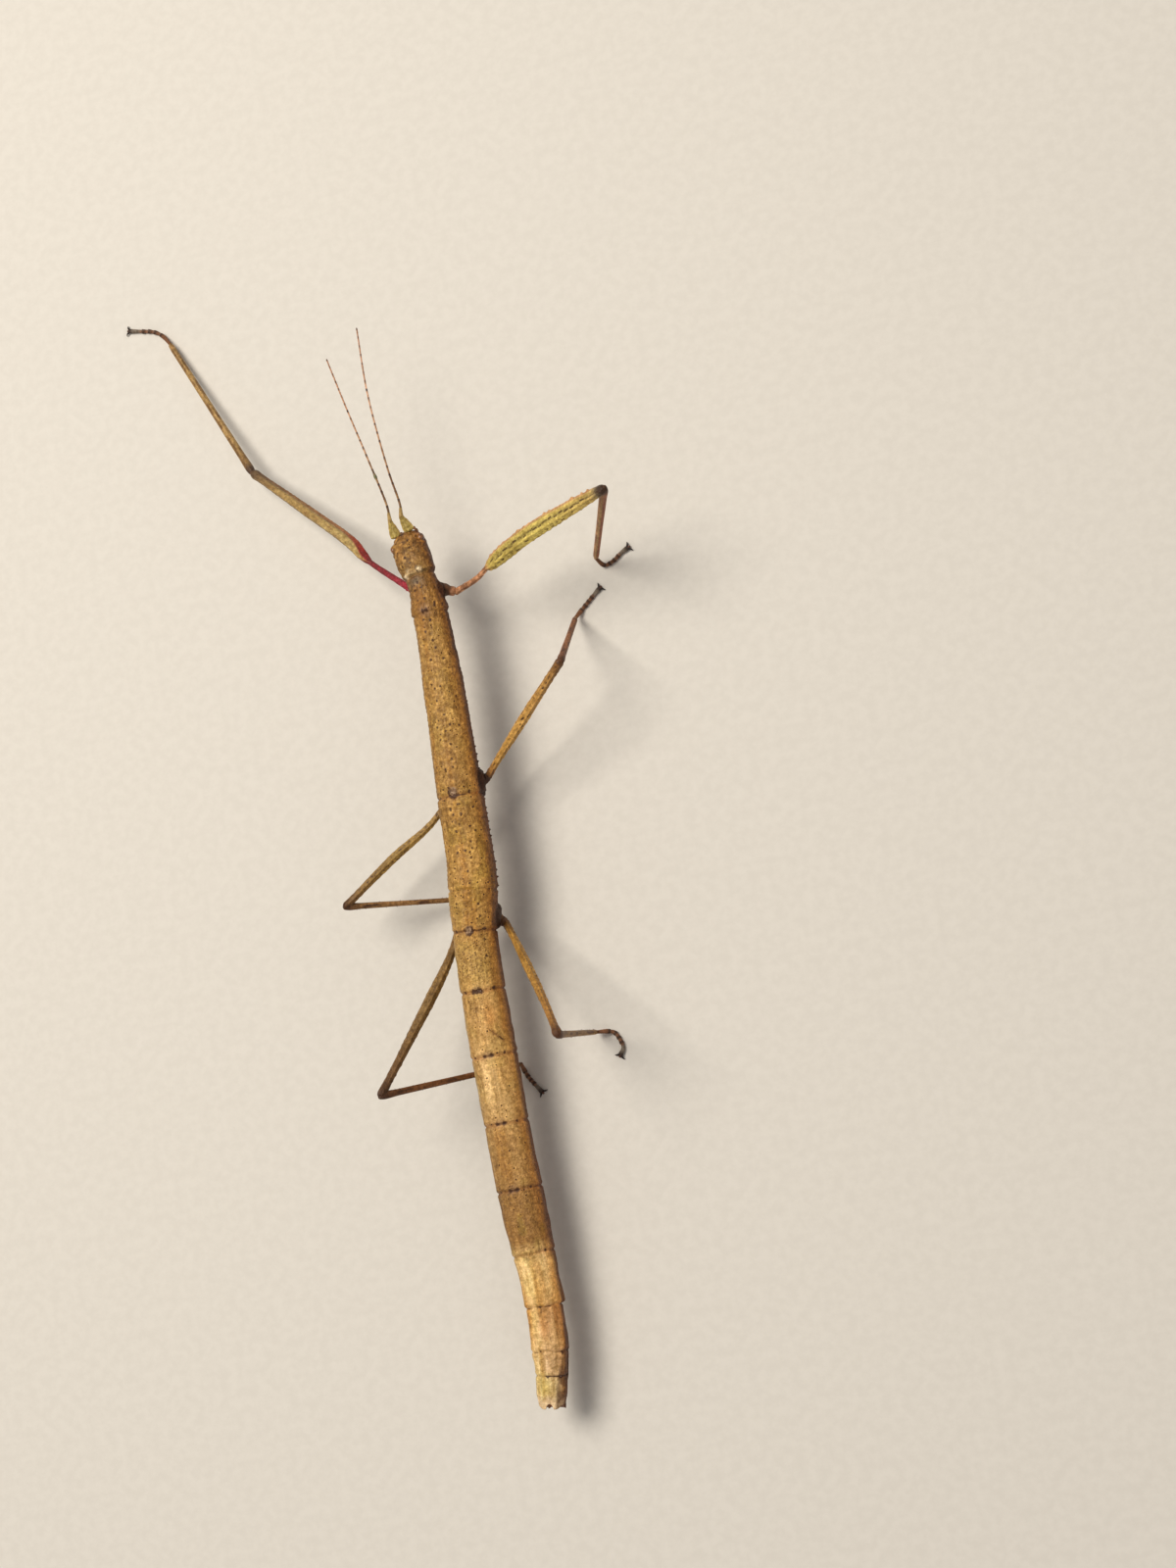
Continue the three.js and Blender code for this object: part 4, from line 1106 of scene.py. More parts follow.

# %% [markdown]
# ### The head and the neck
# A brown stripe runs from each eye to the rear, stronger on the right, where it is partly
# painted shade. The crown is mottled, and the two bumps are nearly white. The mottle is
# larger than the finish's own patches, so it is painted.

# %% Marks on the head and the neck
ON_NECK = hump(D, 7, 2.2)
# the right stripe is stronger: its own brown, and painted shade on the head's right edge
eye_stripe_and_shade = hump(DEGREES, -86, 18) + 0.55 * hump(DEGREES, 100, 14)
mark += 0.4 * eye_stripe_and_shade * ON_HEAD * ease(D, 0.3, 0.8)
mark += 0.8 * spot(0.3, 0.1, 0.3, 0.42)
mark += 0.5 * hump(D, SUTURES[0] + 0.08, 0.09) * ease(np.cos(A), -0.2, 0.4)
mark += 0.42 * spot(5.62, 0.3, 0.32, 0.55)
cover(rgb(112, 108, 96), 0.65 * spot(5.75, 0.3, 0.45, 0.75))
dull = ON_HEAD * (ease(cloudy(BASE * 2.4, 31), 0.5, 0.72) + 0.4 * spot(3.0, 0.0, 0.9, 0.9))
tint(np.clip(dull, 0, 1), 0.66, 0.64, 0.58)
dull = ease(cloudy(BASE * 4.4, 35), 0.5, 0.7) * (ON_HEAD + 0.7 * ON_NECK)
tint(np.clip(dull, 0, 1), 0.62, 0.58, 0.5)
pale = ease(cloudy(BASE * 3.6, 36), 0.46, 0.28) * (ON_HEAD + 0.5 * ON_NECK)
tint(np.clip(pale, 0, 1), 1.34, 1.44, 1.6)
cover(rgb(90, 46, 20), 0.85 * np.clip(eye_stripe_and_shade, 0, 1) * ON_HEAD)
rear_edge = hump(D, 4.86, 0.16) * ease(ASIDE, -1.0, -0.6) * (1 - ease(ASIDE, 1.4, 1.7))
cover(rgb(206, 176, 128), 0.5 * rear_edge)
for behind, left in HEAD_BUMPS:
    cover(rgb(250, 226, 186), 0.9 * spot(behind, left, 0.22, 0.24))
cover(rgb(210, 186, 148), 0.6 * spot(4.5, 0.75, 0.3, 0.32))
print("mean of the head's paint:", paint[D[:, 0] < HEAD_LENGTH].mean((0, 1)).round(3))

# %% [markdown]
# ## The end of the skin
# The last plate ends in two lobes with a notch between them and a dark hollow below. A
# boolean cut would spoil the grid. Instead the last sections are drawn forward at the
# keel, and a few more turn in, close the mesh and darken to a brown red.

# %% The notch, the brow and the hollow
left_of_keel = np.abs(trunk_section(D, A)[0])
near_end = ease(D, TAIL - 1.9, TAIL - 0.06) * ease(np.cos(A), -0.35, 0.25)
notched = 0.6 * near_end * np.maximum(0, 1 - (left_of_keel / 0.44) ** 2) ** 0.7
rounded = 0.75 * near_end * ease(left_of_keel, 0.6, 1.75) ** 1.2
skin = trunk_point(D - notched - rounded, A, relief)
BROW = [(0, 0.55), (0.01, 0.78), (0.04, 0.9), (0.09, 0.96), (0.15, 1.0)]  # place, share
brow = MIDDLE.at(0) + (0, 0, -0.25)
brow_share = np.where(D < BROW[-1][0], np.interp(D, *zip(*BROW)), 1)
skin = brow + (skin - brow) * brow_share[..., None]
FORWARD = np.array([0.0, -1.0, 0.0])
TURNED_IN = ((0.96, -0.02), (0.88, 0.05), (0.78, 0.3), (0.6, 0.55), (0.3, 0.7))
end = skin[-1]
end_middle = end.mean(0)
turned = [end_middle + (end - end_middle) * share + FORWARD * inward
          for share, inward in TURNED_IN]
skin = np.concatenate([skin, np.array(turned)])
print("depth of the notch:", round(notched.max(), 2), "mm")

# %% The trunk's clay
HOLLOW_RED = rgb(176, 112, 84)
HOLLOW_STEP = 0.3  # millimetres of skin from one added section to the next
extra = len(TURNED_IN)
steps = np.arange(1, extra + 1)
rows_mm = np.concatenate([SKIN_ROWS, SKIN_ROWS[-1] + steps * HOLLOW_STEP])
inner = ease(steps, 1, 3.5)[:, None, None]
paint = np.concatenate([paint, paint[-1:] * (1 - inner) + HOLLOW_RED * inner])
pores = 0.5 * ON_THORAX + 0.3 * ON_ABDOMEN * ease(cloudy(BASE * 0.5, 33), 0.3, 0.6)
pores = pores * ease(np.cos(A), -0.5, 0.2) * (1 - AT_TAIL) + 0.3 * ON_HEAD
bare = np.zeros((extra, SKIN_COLUMNS))
trunk = Clay()
trunk.add(skin, rows_mm, skin_angles * 2.35, paint, np.concatenate([mark, bare]),
          np.concatenate([pores, bare]))
print("trunk's points so far:", trunk.count)

# %% [markdown]
# ## Small black spines
# A row of tiny spines stands along each flank of the long thorax plates. Instances would
# save memory, but a few dozen cones cost nothing, and each sinks its foot into the skin.

# %% Thorns
# how far out each ring of a thorn lies, and how wide it is, as shares
THORN = ((-0.25, 1.15), (0.0, 1.0), (0.4, 0.72), (0.8, 0.42), (1.0, 0.08))


def thorn(clay, foot, way, length, thick, colour, sides=6):
    """A small sharp cone."""
    way = unit(way)
    side = unit(np.cross(way, (0.31, 0.52, 0.79)))
    other = np.cross(way, side)
    turn = np.linspace(0, 2 * math.pi, sides, endpoint=False)
    ring = side * np.cos(turn)[:, None] + other * np.sin(turn)[:, None]
    grid = np.array([np.asarray(foot) + way * length * rise + ring * thick / 2 * wide
                     for rise, wide in THORN])
    clay.add(grid, [0] * len(THORN), np.zeros(sides + 1), colour)


SPINE_ROWS = ((15.0, 28.6), (29.8, 39.0))  # from and to, behind the brow
SPINE_STEP = 0.82
SPINE_DEGREES = 101
SPINE_BLACK = rgb(64, 36, 22)
before = trunk.count
picker = random.Random(4)
for sign in (-1, 1):
    for start, stop in SPINE_ROWS:
        for place in np.arange(start, stop, SPINE_STEP):
            where = place + picker.uniform(-0.15, 0.15)
            degrees = sign * (SPINE_DEGREES + picker.uniform(-4, 4))
            foot = trunk_point(np.array(where), np.array(math.radians(degrees)))
            side = MIDDLE.frames(where)[1]
            tall = picker.uniform(0.13, 0.2) * (0.7 if place < 24 else 1.0)
            thorn(trunk, foot, side * sign + UP * 0.1, tall, 0.3, SPINE_BLACK)
print("points in the spines:", trunk.count - before)
trunk.mesh("trunk_skin", trunk_skin, "cuticle_tan", "head", *[ring[0] for ring in RINGS])

# %% [markdown]
# ## The egg scoop
# Under the last rings a female carries a keeled boat, which holds each egg before it
# drops. A boolean with the belly would leave long thin faces, so its upper side is laid
# just below the belly.

# %% The egg scoop
SCOOP_START = SUTURES[10] - 0.9
SCOOP_LENGTH = 11.3
SCOOP_UNDER_BELLY = 0.13
scoop_width = through([(0, 1.8), (1.5, 3.1), (4, 3.8), (8, 3.45), (10.2, 2.0), (11.3, 0.8)])
scoop_depth = through([(0, 1.5), (2, 1.8), (5, 1.85), (8.5, 1.5), (11.3, 0.4)])
scoop_rows = np.linspace(0.0, SCOOP_LENGTH, 120)
scoop_angles = np.linspace(0, 2 * math.pi, 65)
S, B = np.meshgrid(scoop_rows, scoop_angles[:-1], indexing="ij")
rise = np.cos(B)
keel = np.where(rise < 0, 0.12 * np.abs(rise) ** 16, 0)
left = (scoop_width(S) / 2 - SKIN_GAP) * np.sin(B)
down = np.where(rise < 0, scoop_depth(S) - SKIN_GAP, 0.45) * rise - keel
width, height, lift = trunk_size(S + SCOOP_START)
inside = np.clip(np.abs(left) / (width / 2), 0, 1)
belly = lift - (height / 2) * BELLY * (1 - inside**SQUARE) ** (1 / SQUARE)
ripple = cloudy(np.stack([S * 0.3, left * 2.2, down * 2.2], -1), 41) - 0.5
grains = specks(S, B * 1.9, 0.42, 42)[0]
down = np.minimum(down - 0.05 * ripple * (rise < 0.2), belly - SCOOP_UNDER_BELLY)
left = left * (1 + 0.03 * ripple - 0.02 * hump(grains, 0, 0.12))
centre, side, up = MIDDLE.frames(S + SCOOP_START)
scoop_grid = centre + side * left[..., None] + up * down[..., None]
scoop_paint = blend(rgb(168, 124, 74), rgb(122, 84, 50),
                    ease(cloudy(scoop_grid * 0.7, 43), 0.35, 0.75))
scoop_paint = blend(scoop_paint, rgb(196, 160, 110), 0.5 * hump(rise, -1, 0.03))
scoop_mark = 0.5 * ease(cloudy(scoop_grid * 2.3, 44), 0.62, 0.8)
scoop = Clay()
scoop.add(scoop_grid, scoop_rows, scoop_angles * 1.8, scoop_paint, scoop_mark, 0.3)
scoop.mesh("egg_scoop_skin", trunk_skin, "cuticle_tan", "egg_scoop")

# %% [markdown]
# ## Rods
# All the thin parts, from the tail feelers to the claws, are rods: a path, two sizes, and
# rules for paint, marks and relief. Curve objects couldn't take the ridges and teeth.

# %% A rod along a path
def rod(clay, path, wide, high, rows, columns, paint, mark=0.0, pores=0.0, lean=UP,
        out=None, first=0.0, last=1.0):
    """A closed limb along a path. out(share, angle) gives the relief."""
    share = np.linspace(first, last, rows)
    angles = np.linspace(0, 2 * math.pi, columns + 1)
    place, turn = np.meshgrid(share, angles[:-1], indexing="ij")
    centre, side, up = path.frames(place * path.length, lean)
    extra = 0 if out is None else out(place, turn)
    left = (wide(place) / 2 + extra) * np.sin(turn)
    rise = (high(place) / 2 + extra) * np.cos(turn)
    grid = centre + side * left[..., None] + up * rise[..., None]
    colour = paint(place, turn, grid) if callable(paint) else paint
    dark = mark(place, turn, grid) if callable(mark) else mark
    middle = float(wide(np.array(0.5)))
    clay.add(grid, share * path.length, angles * middle / 2, colour, dark, pores)


def rounded_ends(size, start=0.06, end=0.06):
    """The same size, drawn in to round ends."""
    def drawn(share):
        from_start = np.clip(share / start, 0, 1)
        from_end = np.clip((1 - share) / end, 0, 1)
        closing = np.sqrt(1 - (1 - from_start) ** 2) * np.sqrt(1 - (1 - from_end) ** 2)
        return size(share) * np.maximum(closing, 0.04)
    return drawn


def thorn_on(clay, line, place, turn, out, forward, length, thick, colour, sides, lean=UP):
    """A thorn that stands on a rod and leans towards its tip."""
    centre, side, up = line.frames(np.array(place), lean)
    way = side * math.sin(turn) + up * math.cos(turn)
    ahead = line.along(np.array(place))
    thorn(clay, centre + way * out, way + ahead * forward, length, thick, colour, sides)


print("a rod's width at 1% of its length:", round(rounded_ends(lambda share: 1.0)(0.01), 2))

# %% [markdown]
# ## The tail feelers
# Two short leaf-like feelers, the cerci, stand under the body's end. A mirrored copy would
# repeat its hairs, so each is built, with seven hairs in a spiral.

# %% The tail feelers
TAIL_END = MIDDLE.at(TAIL)
SPIRAL = 2.4  # the turn from one hair to the next
leaf = rounded_ends(through([(0, 0.42), (0.4, 0.56), (0.8, 0.5), (1, 0.3)]), 0.1, 0.3)
thin = rounded_ends(through([(0, 0.38), (0.4, 0.42), (1, 0.2)]), 0.1, 0.3)
for name, sign in EYE_PLACE.items():
    start = TAIL_END + (sign * 0.62, -1.15, -0.72)
    path = Path([start, start + (sign * 0.05, 1.15, 0.12)])
    cercus = Clay()
    rod(cercus, path, leaf, thin, 40, 24, rgb(176, 140, 92), 0.0, 0.3,
        out=lambda share, turn: 0.02 * np.cos(turn * 4) + 0.012 * np.sin(share * 60))
    for k in range(7):
        foot = path.at(np.array(path.length * (0.25 + 0.1 * k)))
        way = np.array([math.cos(k * SPIRAL), 0.5, math.sin(k * SPIRAL)])
        thorn(cercus, foot + unit(way) * 0.16, way, 0.1, 0.035, rgb(60, 40, 26), 5)
    cercus.mesh(f"cercus_{name}_skin", trunk_skin, "cuticle_tan", f"cercus_{name}")

# %% [markdown]
# ## The eyes
# The eyes are small and oval, half sunk in the head. Each has several hundred lenses, which
# would need more points than the rest of the body, so a bump makes them. Bands cross the
# tan ground, and a glossy coat tells the eye from the skin.

# %% The eyes' finish
def eye_finish():
    """Fine lenses over a banded tan ground."""
    made, tree, shader = new_finish("eye_lenses")
    in_mm = scaled(tree, own_place(tree), *PER_METRE)
    paint = stored(tree, "paint", "Color")
    lenses = node(tree, "ShaderNodeTexVoronoi", [("Vector", in_mm), ("Scale", 24.0)])
    rim = mapped(tree, lenses.outputs["Distance"], 0.3, 0.65, 0, 0.6)
    colour = mixed(tree, rim, paint, times(tree, paint, 0.35, 0.3, 0.28))
    bands = grain(tree, in_mm, 3.2, 2, 0.5)
    dark = mapped(tree, bands, 0.48, 0.62, 0, 0.8)
    colour = mixed(tree, dark, colour, flat_colour(rgb(66, 36, 24)))
    rough = mapped(tree, bands, 0.2, 0.8, 0.28, 0.42)
    domes = mapped(tree, lenses.outputs["Distance"], 0, 0.6, 1, 0)
    feed(tree, shader, [("Base Color", colour), ("Roughness", rough), ("Coat Weight", 0.35),
                        ("Coat Roughness", 0.12), ("Normal", bumped(tree, 0.6, 0.00001, domes))])
    return made


eye_look = eye_finish()
print("finish made:", eye_look.name)

# %% The eyes
def head_point(behind, left, up_by):
    """A point on the head: behind the brow, to the left and upwards."""
    centre, side, up = MIDDLE.frames(np.array(max(0.0, behind)))
    ahead = MIDDLE.along(np.array(0.0)) * min(0.0, behind)
    return centre + side * left + up * up_by + ahead


def dome(centre, radii, turn, rows=48, columns=56):
    """The points of an oval ball, with its poles at the sides."""
    polar = np.linspace(0.04, math.pi - 0.04, rows)
    around = np.linspace(0, 2 * math.pi, columns, endpoint=False)
    P, Q = np.meshgrid(polar, around, indexing="ij")
    ball = np.stack([np.cos(P) * radii[0], np.sin(P) * np.cos(Q) * radii[1],
                     np.sin(P) * np.sin(Q) * radii[2]], -1)
    spin = np.array([[math.cos(turn), -math.sin(turn), 0],
                     [math.sin(turn), math.cos(turn), 0], [0, 0, 1]])
    return centre + ball @ spin.T, Q


EYE_RADII = (0.36, 0.5, 0.46)  # outwards, along the head and upwards
for name, sign in EYE_PLACE.items():
    middle = head_point(1.4, sign * EYE_ASIDE, 0.22)
    grid, Q = dome(middle, EYE_RADII, sign * 0.3 + 0.15)
    tone = blend(rgb(164, 112, 74), rgb(96, 56, 36), ease(np.sin(Q * 2 + 0.6), 0.2, 0.9))
    eye = Clay()
    eye.add(grid, np.linspace(0, 1, len(Q)), np.linspace(0, 3, Q.shape[1] + 1), tone)
    eye.mesh(f"eye_{name}_dome", eye_look, "eye_brown", f"eye_{name}")

# %% [markdown]
# ## The feelers' base joints
# A feeler starts with a flat olive leaf with pale edges. A cut-out sheet would be simpler,
# but the leaf has a rib and thickness, so it is a rod that follows the leaf's outline.

# %% The feelers' base joints
olive_skin = skin_finish("olive_skin", pore_share=0.12, streaks=0.45, freckles=0.45)
LEAF_WIDTH, LEAF_THICK = 1.18, 0.62
LEAF_TIP = {"left": 0.72, "right": 0.6}  # to the side, at the leaf's tip
leaf_shape = through([(0, 0.75), (0.12, 1), (0.3, 1), (0.6, 0.8), (0.9, 0.5), (1, 0.42)])


def leaf_paint(share, turn, grid):
    """Olive, with pale edges and a pale rib."""
    edge = hump(np.abs(np.sin(turn)), 1, 0.16)
    colour = blend(rgb(164, 142, 74), rgb(208, 176, 112), 0.9 * edge)
    colour = blend(colour, rgb(204, 180, 112), 0.5 * hump(np.sin(turn), 0, 0.12))
    colour = blend(colour, rgb(104, 82, 46), 0.4 * (1 - ease(share, 0.04, 0.14)))
    return blend(colour, rgb(160, 130, 78), 0.7 * ease(share, 0.8, 1))


def leaf_mark(share, turn, grid):
    """A few small dots."""
    away, number = specks(share * 1.9, np.sin(turn) * 0.6, 0.36, 51)
    return 0.6 * (number > 0.7) * hump(away, 0, 0.06)


def leaf_relief(share, turn):
    """A rib along the middle, between two shallow grooves."""
    return 0.03 * hump(np.sin(turn), 0, 0.1) - 0.035 * hump(np.abs(np.sin(turn)), 0.5, 0.2)


leaf_wide = rounded_ends(lambda share: LEAF_WIDTH * leaf_shape(share), 0.05, 0.03)
leaf_high = rounded_ends(lambda share: LEAF_THICK * np.maximum(0.72, leaf_shape(share)),
                         0.05, 0.03)
leaf_ends = {}
for name, sign in EYE_PLACE.items():
    foot = head_point(0.35, sign * SOCKET_ASIDE, 0.42)
    tip = head_point(0.35 - 1.9, sign * LEAF_TIP[name], 0.86)
    leaf_ends[name] = foot, tip
    scape = Clay()
    rod(scape, Path([foot, tip]), leaf_wide, leaf_high, 90, 48, leaf_paint, leaf_mark, 0.3,
        out=leaf_relief)
    scape.mesh(f"scape_{name}_skin", olive_skin, "cuticle_olive", f"scape_{name}")

# %% [markdown]
# ## The feelers' threads
# After the leaf comes a bead, and then a thread of about twenty joints. The left one has a
# greenish knot, an old healed hurt. Twenty little rods would show gaps, so each thread is
# one sweep that swells at each joint.

# %% The thread's sizes and colours
feeler_skin = skin_finish("feeler_skin", pore_share=0.0, streaks=0.3, grains=0.6)
THREAD_JOINTS = 22
KNOT = 0.27  # where the knot is, as a share of the thread
THREAD_TONES = [(0, 168, 138, 94), (0.12, 146, 108, 70), (0.3, 172, 128, 92),
                (0.5, 204, 156, 122), (1, 192, 138, 108)]


def thread_size(share):
    """The thread's width, greatest at the far end of each joint."""
    taper = np.interp(share, [0, 0.08, 0.3, 1], [0.3, 0.26, 0.21, 0.16])
    in_joint = share * THREAD_JOINTS - np.floor(share * THREAD_JOINTS)
    return taper * (0.9 + 0.12 * ease(in_joint, 0.3, 0.9) - 0.1 * ease(in_joint, 0.93, 1))


def thread_paint(share, turn, grid):
    """Pale joints with dark ends, and a few dark joints."""
    number = np.floor(share * THREAD_JOINTS)
    in_joint = share * THREAD_JOINTS - number
    strong = 0.35 + 0.6 * chance(number, 3, 1, 2)
    early = 0.6 * (1 - ease(share, 0.2, 0.4)) * (chance(number, 5, 1, 4) > 0.5)
    colour = blend(tone_at(share, THREAD_TONES), rgb(84, 50, 30), early)
    return blend(colour, rgb(52, 26, 18), strong * ease(in_joint, 0.6, 0.8))


def knot_size(share):
    """The left thread, with its knot."""
    return thread_size(share) + 0.15 * hump(share, KNOT, 0.018)


def knot_paint(share, turn, grid):
    """Greenish on the knot and dark beyond it."""
    colour = thread_paint(share, turn, grid)
    colour = blend(colour, rgb(112, 118, 84), 0.8 * hump(share, KNOT, 0.02))
    return blend(colour, rgb(40, 34, 26), 0.8 * hump(share, KNOT + 0.025, 0.012))


print("the thread's width, in mm:", thread_size(np.array([0.0, 0.99])).round(2))

# %% The feelers' threads
THREADS = {
    "left": [(1.2, -49.65, 10.3), (2.25, -55.1, 11.15), (3.45, -61.0, 12.2),
             (4.5, -66.4, 13.0)],
    "right": [(-0.2, -49.4, 10.1), (0.5, -53.7, 10.25), (1.33, -62.2, 10.65),
              (1.3, -69.65, 11.0)]}
THREAD_STYLES = {"left": (knot_size, knot_paint), "right": (thread_size, thread_paint)}
THREAD_START = 0.9  # where the thread leaves the bead, from the leaf's tip
HAIRS = 150
bead_round = rounded_ends(through([(0, 0.5), (0.25, 0.45), (0.6, 0.37), (1, 0.31)]), 0.03, 0.1)
for name, sign in EYE_PLACE.items():
    foot, tip = leaf_ends[name]
    line = Path([tip, *THREADS[name]])
    bead = Path([tip - unit(tip - foot) * 0.14, line.at(np.array(0.45)), line.at(np.array(0.98))])
    feeler = Clay()
    rod(feeler, bead, bead_round, bead_round, 36, 24, rgb(166, 138, 86),
        out=lambda share, turn: 0.012 * np.cos(turn * 5))
    size, colours = THREAD_STYLES[name]
    size = rounded_ends(size, 0.004, 0.01)
    rod(feeler, line, size, size, 700, 14, colours, first=THREAD_START / line.length)
    picker = random.Random(7 + sign)
    for k in range(HAIRS):
        share = picker.uniform(0.05, 0.99)
        turn = picker.uniform(0, 2 * math.pi)
        thick = float(thread_size(np.array(share)))
        thorn_on(feeler, line, share * line.length, turn, thick * 0.4, 0.9, 0.11, 0.022,
                 rgb(86, 52, 34), 4)
    feeler.mesh(f"feeler_{name}", feeler_skin, "feeler_brown", f"antenna_{name}")

# %% [markdown]
# ## The mouth
# The mouth has a lip with two lobes, a jaw at each side, a floor, and two pairs of jointed
# feelers. One sculpted block would join them, but in life they are separate rods.

# %% The mouth's parts
mouth_skin = skin_finish("mouth_skin", pore_share=0.15, streaks=0.2, grains=0.7)
LIP_BROWN, JAW_BROWN, FLOOR_TAN = rgb(150, 108, 66), rgb(126, 78, 44), rgb(158, 118, 76)


def pad(clay, middle, along, length, wide, high, paint, out=None):
    """A rounded lobe that runs along a way."""
    along = unit(along)
    path = Path([middle - along * length / 2, middle + along * length / 2])
    round_wide = rounded_ends(lambda share: wide + 0 * share, 0.45, 0.45)
    round_high = rounded_ends(lambda share: high + 0 * share, 0.45, 0.45)
    rod(clay, path, round_wide, round_high, 30, 32, paint, out=out)


def palp(joints):
    """The size and the paint of a jointed mouth feeler."""
    def in_joint(share):
        return share * joints - np.floor(share * joints * 0.9999)

    def size(share):
        part = in_joint(share)
        return 0.26 + 0.12 * ease(part, 0.1, 0.75) - 0.14 * ease(part, 0.88, 1.0)

    def paint(share, turn, grid):
        return blend(rgb(148, 100, 60), rgb(84, 46, 28), ease(in_joint(share), 0.55, 0.9))

    return rounded_ends(size, 0.05, 0.12), paint


# joints, and places from the brow: behind, aside, up
PALPS = ((4, ((0.9, 0.8, -1.2), (0, 1.0, -1.65), (-0.8, 0.7, -1.75))),
         (3, ((1.2, 0.3, -1.35), (0.6, 0.42, -1.9), (-0.05, 0.35, -2.05))))
mouth = Clay()
for sign in (-1, 1):
    pad(mouth, head_point(0.25, sign * 0.24, -0.82), (0, 0.25, -1), 0.95, 0.6, 0.62,
        LIP_BROWN, lambda share, turn: 0.015 * np.cos(turn * 6))
    pad(mouth, head_point(0.62, sign * 0.62, -0.98), (0, 0.1, -1), 0.95, 0.72, 0.98,
        JAW_BROWN, lambda share, turn: 0.02 * np.sin(share * 16))
    pad(mouth, head_point(0.98, sign * 0.34, -1.24), (0, 1, -0.15), 1.3, 0.72, 0.62,
        FLOOR_TAN, lambda share, turn: 0.02 * np.cos(turn * 5))
    for joints, places in PALPS:
        line = Path([head_point(behind, sign * left, up_by) for behind, left, up_by in places])
        size, colours = palp(joints)
        rod(mouth, line, size, size, 90, 20, colours)
mouth.mesh("mouth", mouth_skin, "mouth_brown", "mouthparts")

# %% [markdown]
# ## The legs
# All legs have a stout hip, a thigh with six long ridges, a thin ridged shin and a foot.
# One leg could be mirrored, but no two have the same bends or colours. So each part
# has one rule, and every leg its own points and tones.

# %% Ridges, and how a leg leans
def lean_of(start, end, degrees):
    """The way a limb's thin side faces, turned from upwards."""
    along = unit(np.array(end) - start)
    level = unit(np.cross(along, UP))
    square = np.cross(level, along)
    turn = math.radians(degrees)
    return square * math.cos(turn) + np.cross(along, square) * math.sin(turn)


def wrapped(turn):
    """The same turn, between minus and plus half a circle."""
    return (turn + math.pi) % (2 * math.pi) - math.pi


def ridges(turn, count, sharp):
    """1 on each of the long ridges, and 0 between them."""
    return (0.5 - 0.5 * np.cos(turn * count)) ** sharp


SIXTH = math.pi / 3  # from one of a thigh's six ridges to the next
print("on a ridge and beside it:", ridges(np.array([SIXTH / 2, 0.0]), 6, 2.2))

# %% [markdown]
# ### The hips
# A hip is a short ribbed cone that ends in a ring. It takes its colour from the trunk and
# from the thigh, so the thighs' tones come first.

# %% Colours of the hips and tones of the thighs
# (share of the length, colour)
THIGH_TONES = {
    "mid_left": [(0, 112, 78, 42), (0.15, 156, 122, 64), (0.5, 152, 120, 60),
                 (0.85, 134, 100, 50), (1, 80, 50, 30)],
    "mid_right": [(0, 66, 40, 24), (0.06, 150, 104, 50), (0.15, 188, 142, 70),
                  (0.5, 196, 150, 78), (0.85, 172, 128, 68), (1, 92, 56, 32)],
    "hind_left": [(0, 100, 62, 34), (0.15, 136, 104, 58), (0.5, 130, 100, 56),
                  (0.85, 112, 80, 46), (1, 70, 44, 28)],
    "hind_right": [(0, 100, 62, 34), (0.12, 164, 122, 56), (0.5, 172, 128, 58),
                   (0.85, 156, 110, 52), (1, 84, 50, 30)],
    "fore_right": [(0, 150, 104, 70), (0.04, 188, 134, 98), (0.22, 194, 138, 100),
                   (0.26, 186, 164, 86), (0.6, 202, 182, 98), (0.88, 194, 166, 94),
                   (0.93, 176, 150, 92), (0.955, 120, 104, 78), (0.975, 70, 52, 38),
                   (1, 60, 40, 26)],
    "fore_left": [(0, 158, 34, 54), (0.1, 140, 24, 40), (0.22, 122, 20, 30),
                  (0.3, 150, 40, 32), (0.36, 162, 72, 44), (0.42, 156, 104, 64),
                  (0.7, 146, 106, 66), (0.92, 112, 80, 52), (1, 70, 48, 36)]}
# the colour at the trunk, and the colour further out
COXA_TONES = {
    "fore_left": (rgb(150, 104, 62), rgb(166, 40, 54)),
    "fore_right": (rgb(70, 42, 28), rgb(96, 62, 40)),
    "mid_left": (rgb(96, 60, 34), rgb(112, 74, 42)),
    "mid_right": (rgb(70, 42, 25), rgb(76, 46, 27)),
    "hind_left": (rgb(90, 54, 32), rgb(108, 70, 40)),
    "hind_right": (rgb(90, 54, 32), rgb(112, 72, 38))}


def coxa_paint(name):
    """The colours of one hip, which end in the thigh's."""
    inner, outer = COXA_TONES[name]
    last = rgb(*THIGH_TONES[name][1 if name == "fore_right" else 0][1:])

    def paint_of(share, turn, grid):
        colour = blend(inner, outer, ease(share, 0.25, 0.6))
        colour = blend(colour, colour * (0.6, 0.56, 0.5), ease(cloudy(grid * 2.2, 71), 0.4, 0.7))
        colour = blend(colour, colour * 1.5, 0.5 * ease(cloudy(grid * 3.1, 72), 0.6, 0.8))
        return blend(colour, last, 0.8 * ease(share, 0.72, 0.86))
    return paint_of


print("tones of the thighs:", sum(map(len, THIGH_TONES.values())))

# %% Building a hip
leg_skin = skin_finish("leg_skin", pore_share=0.3, streaks=0.5, grains=0.8)
HIP_GAP = 0.06  # how much thinner a hip is than its solid


def coxa_relief(share, turn):
    """Ribs, a ring and a groove."""
    return (0.02 * np.cos(turn * 7 + share * 4) + 0.05 * hump(share, 0.8, 0.05)
            - 0.02 * hump(share, 0.5, 0.015))


def build_hip(name, leg):
    """One hip, from its root in the trunk to the thigh."""
    line = Path([leg["root"], leg["hip"]])
    size = rounded_ends(lambda share: COXA_SIZE(share) - HIP_GAP, 0.02, 0.05)
    coxa = Clay()
    rod(coxa, line, size, size, 110, 44, coxa_paint(name), 0.0, 0.5, out=coxa_relief,
        first=0.02, last=0.995)
    coxa.mesh(f"coxa_{name}_skin", leg_skin, "leg_brown", f"coxa_{name}")


print("finish made:", leg_skin.name)

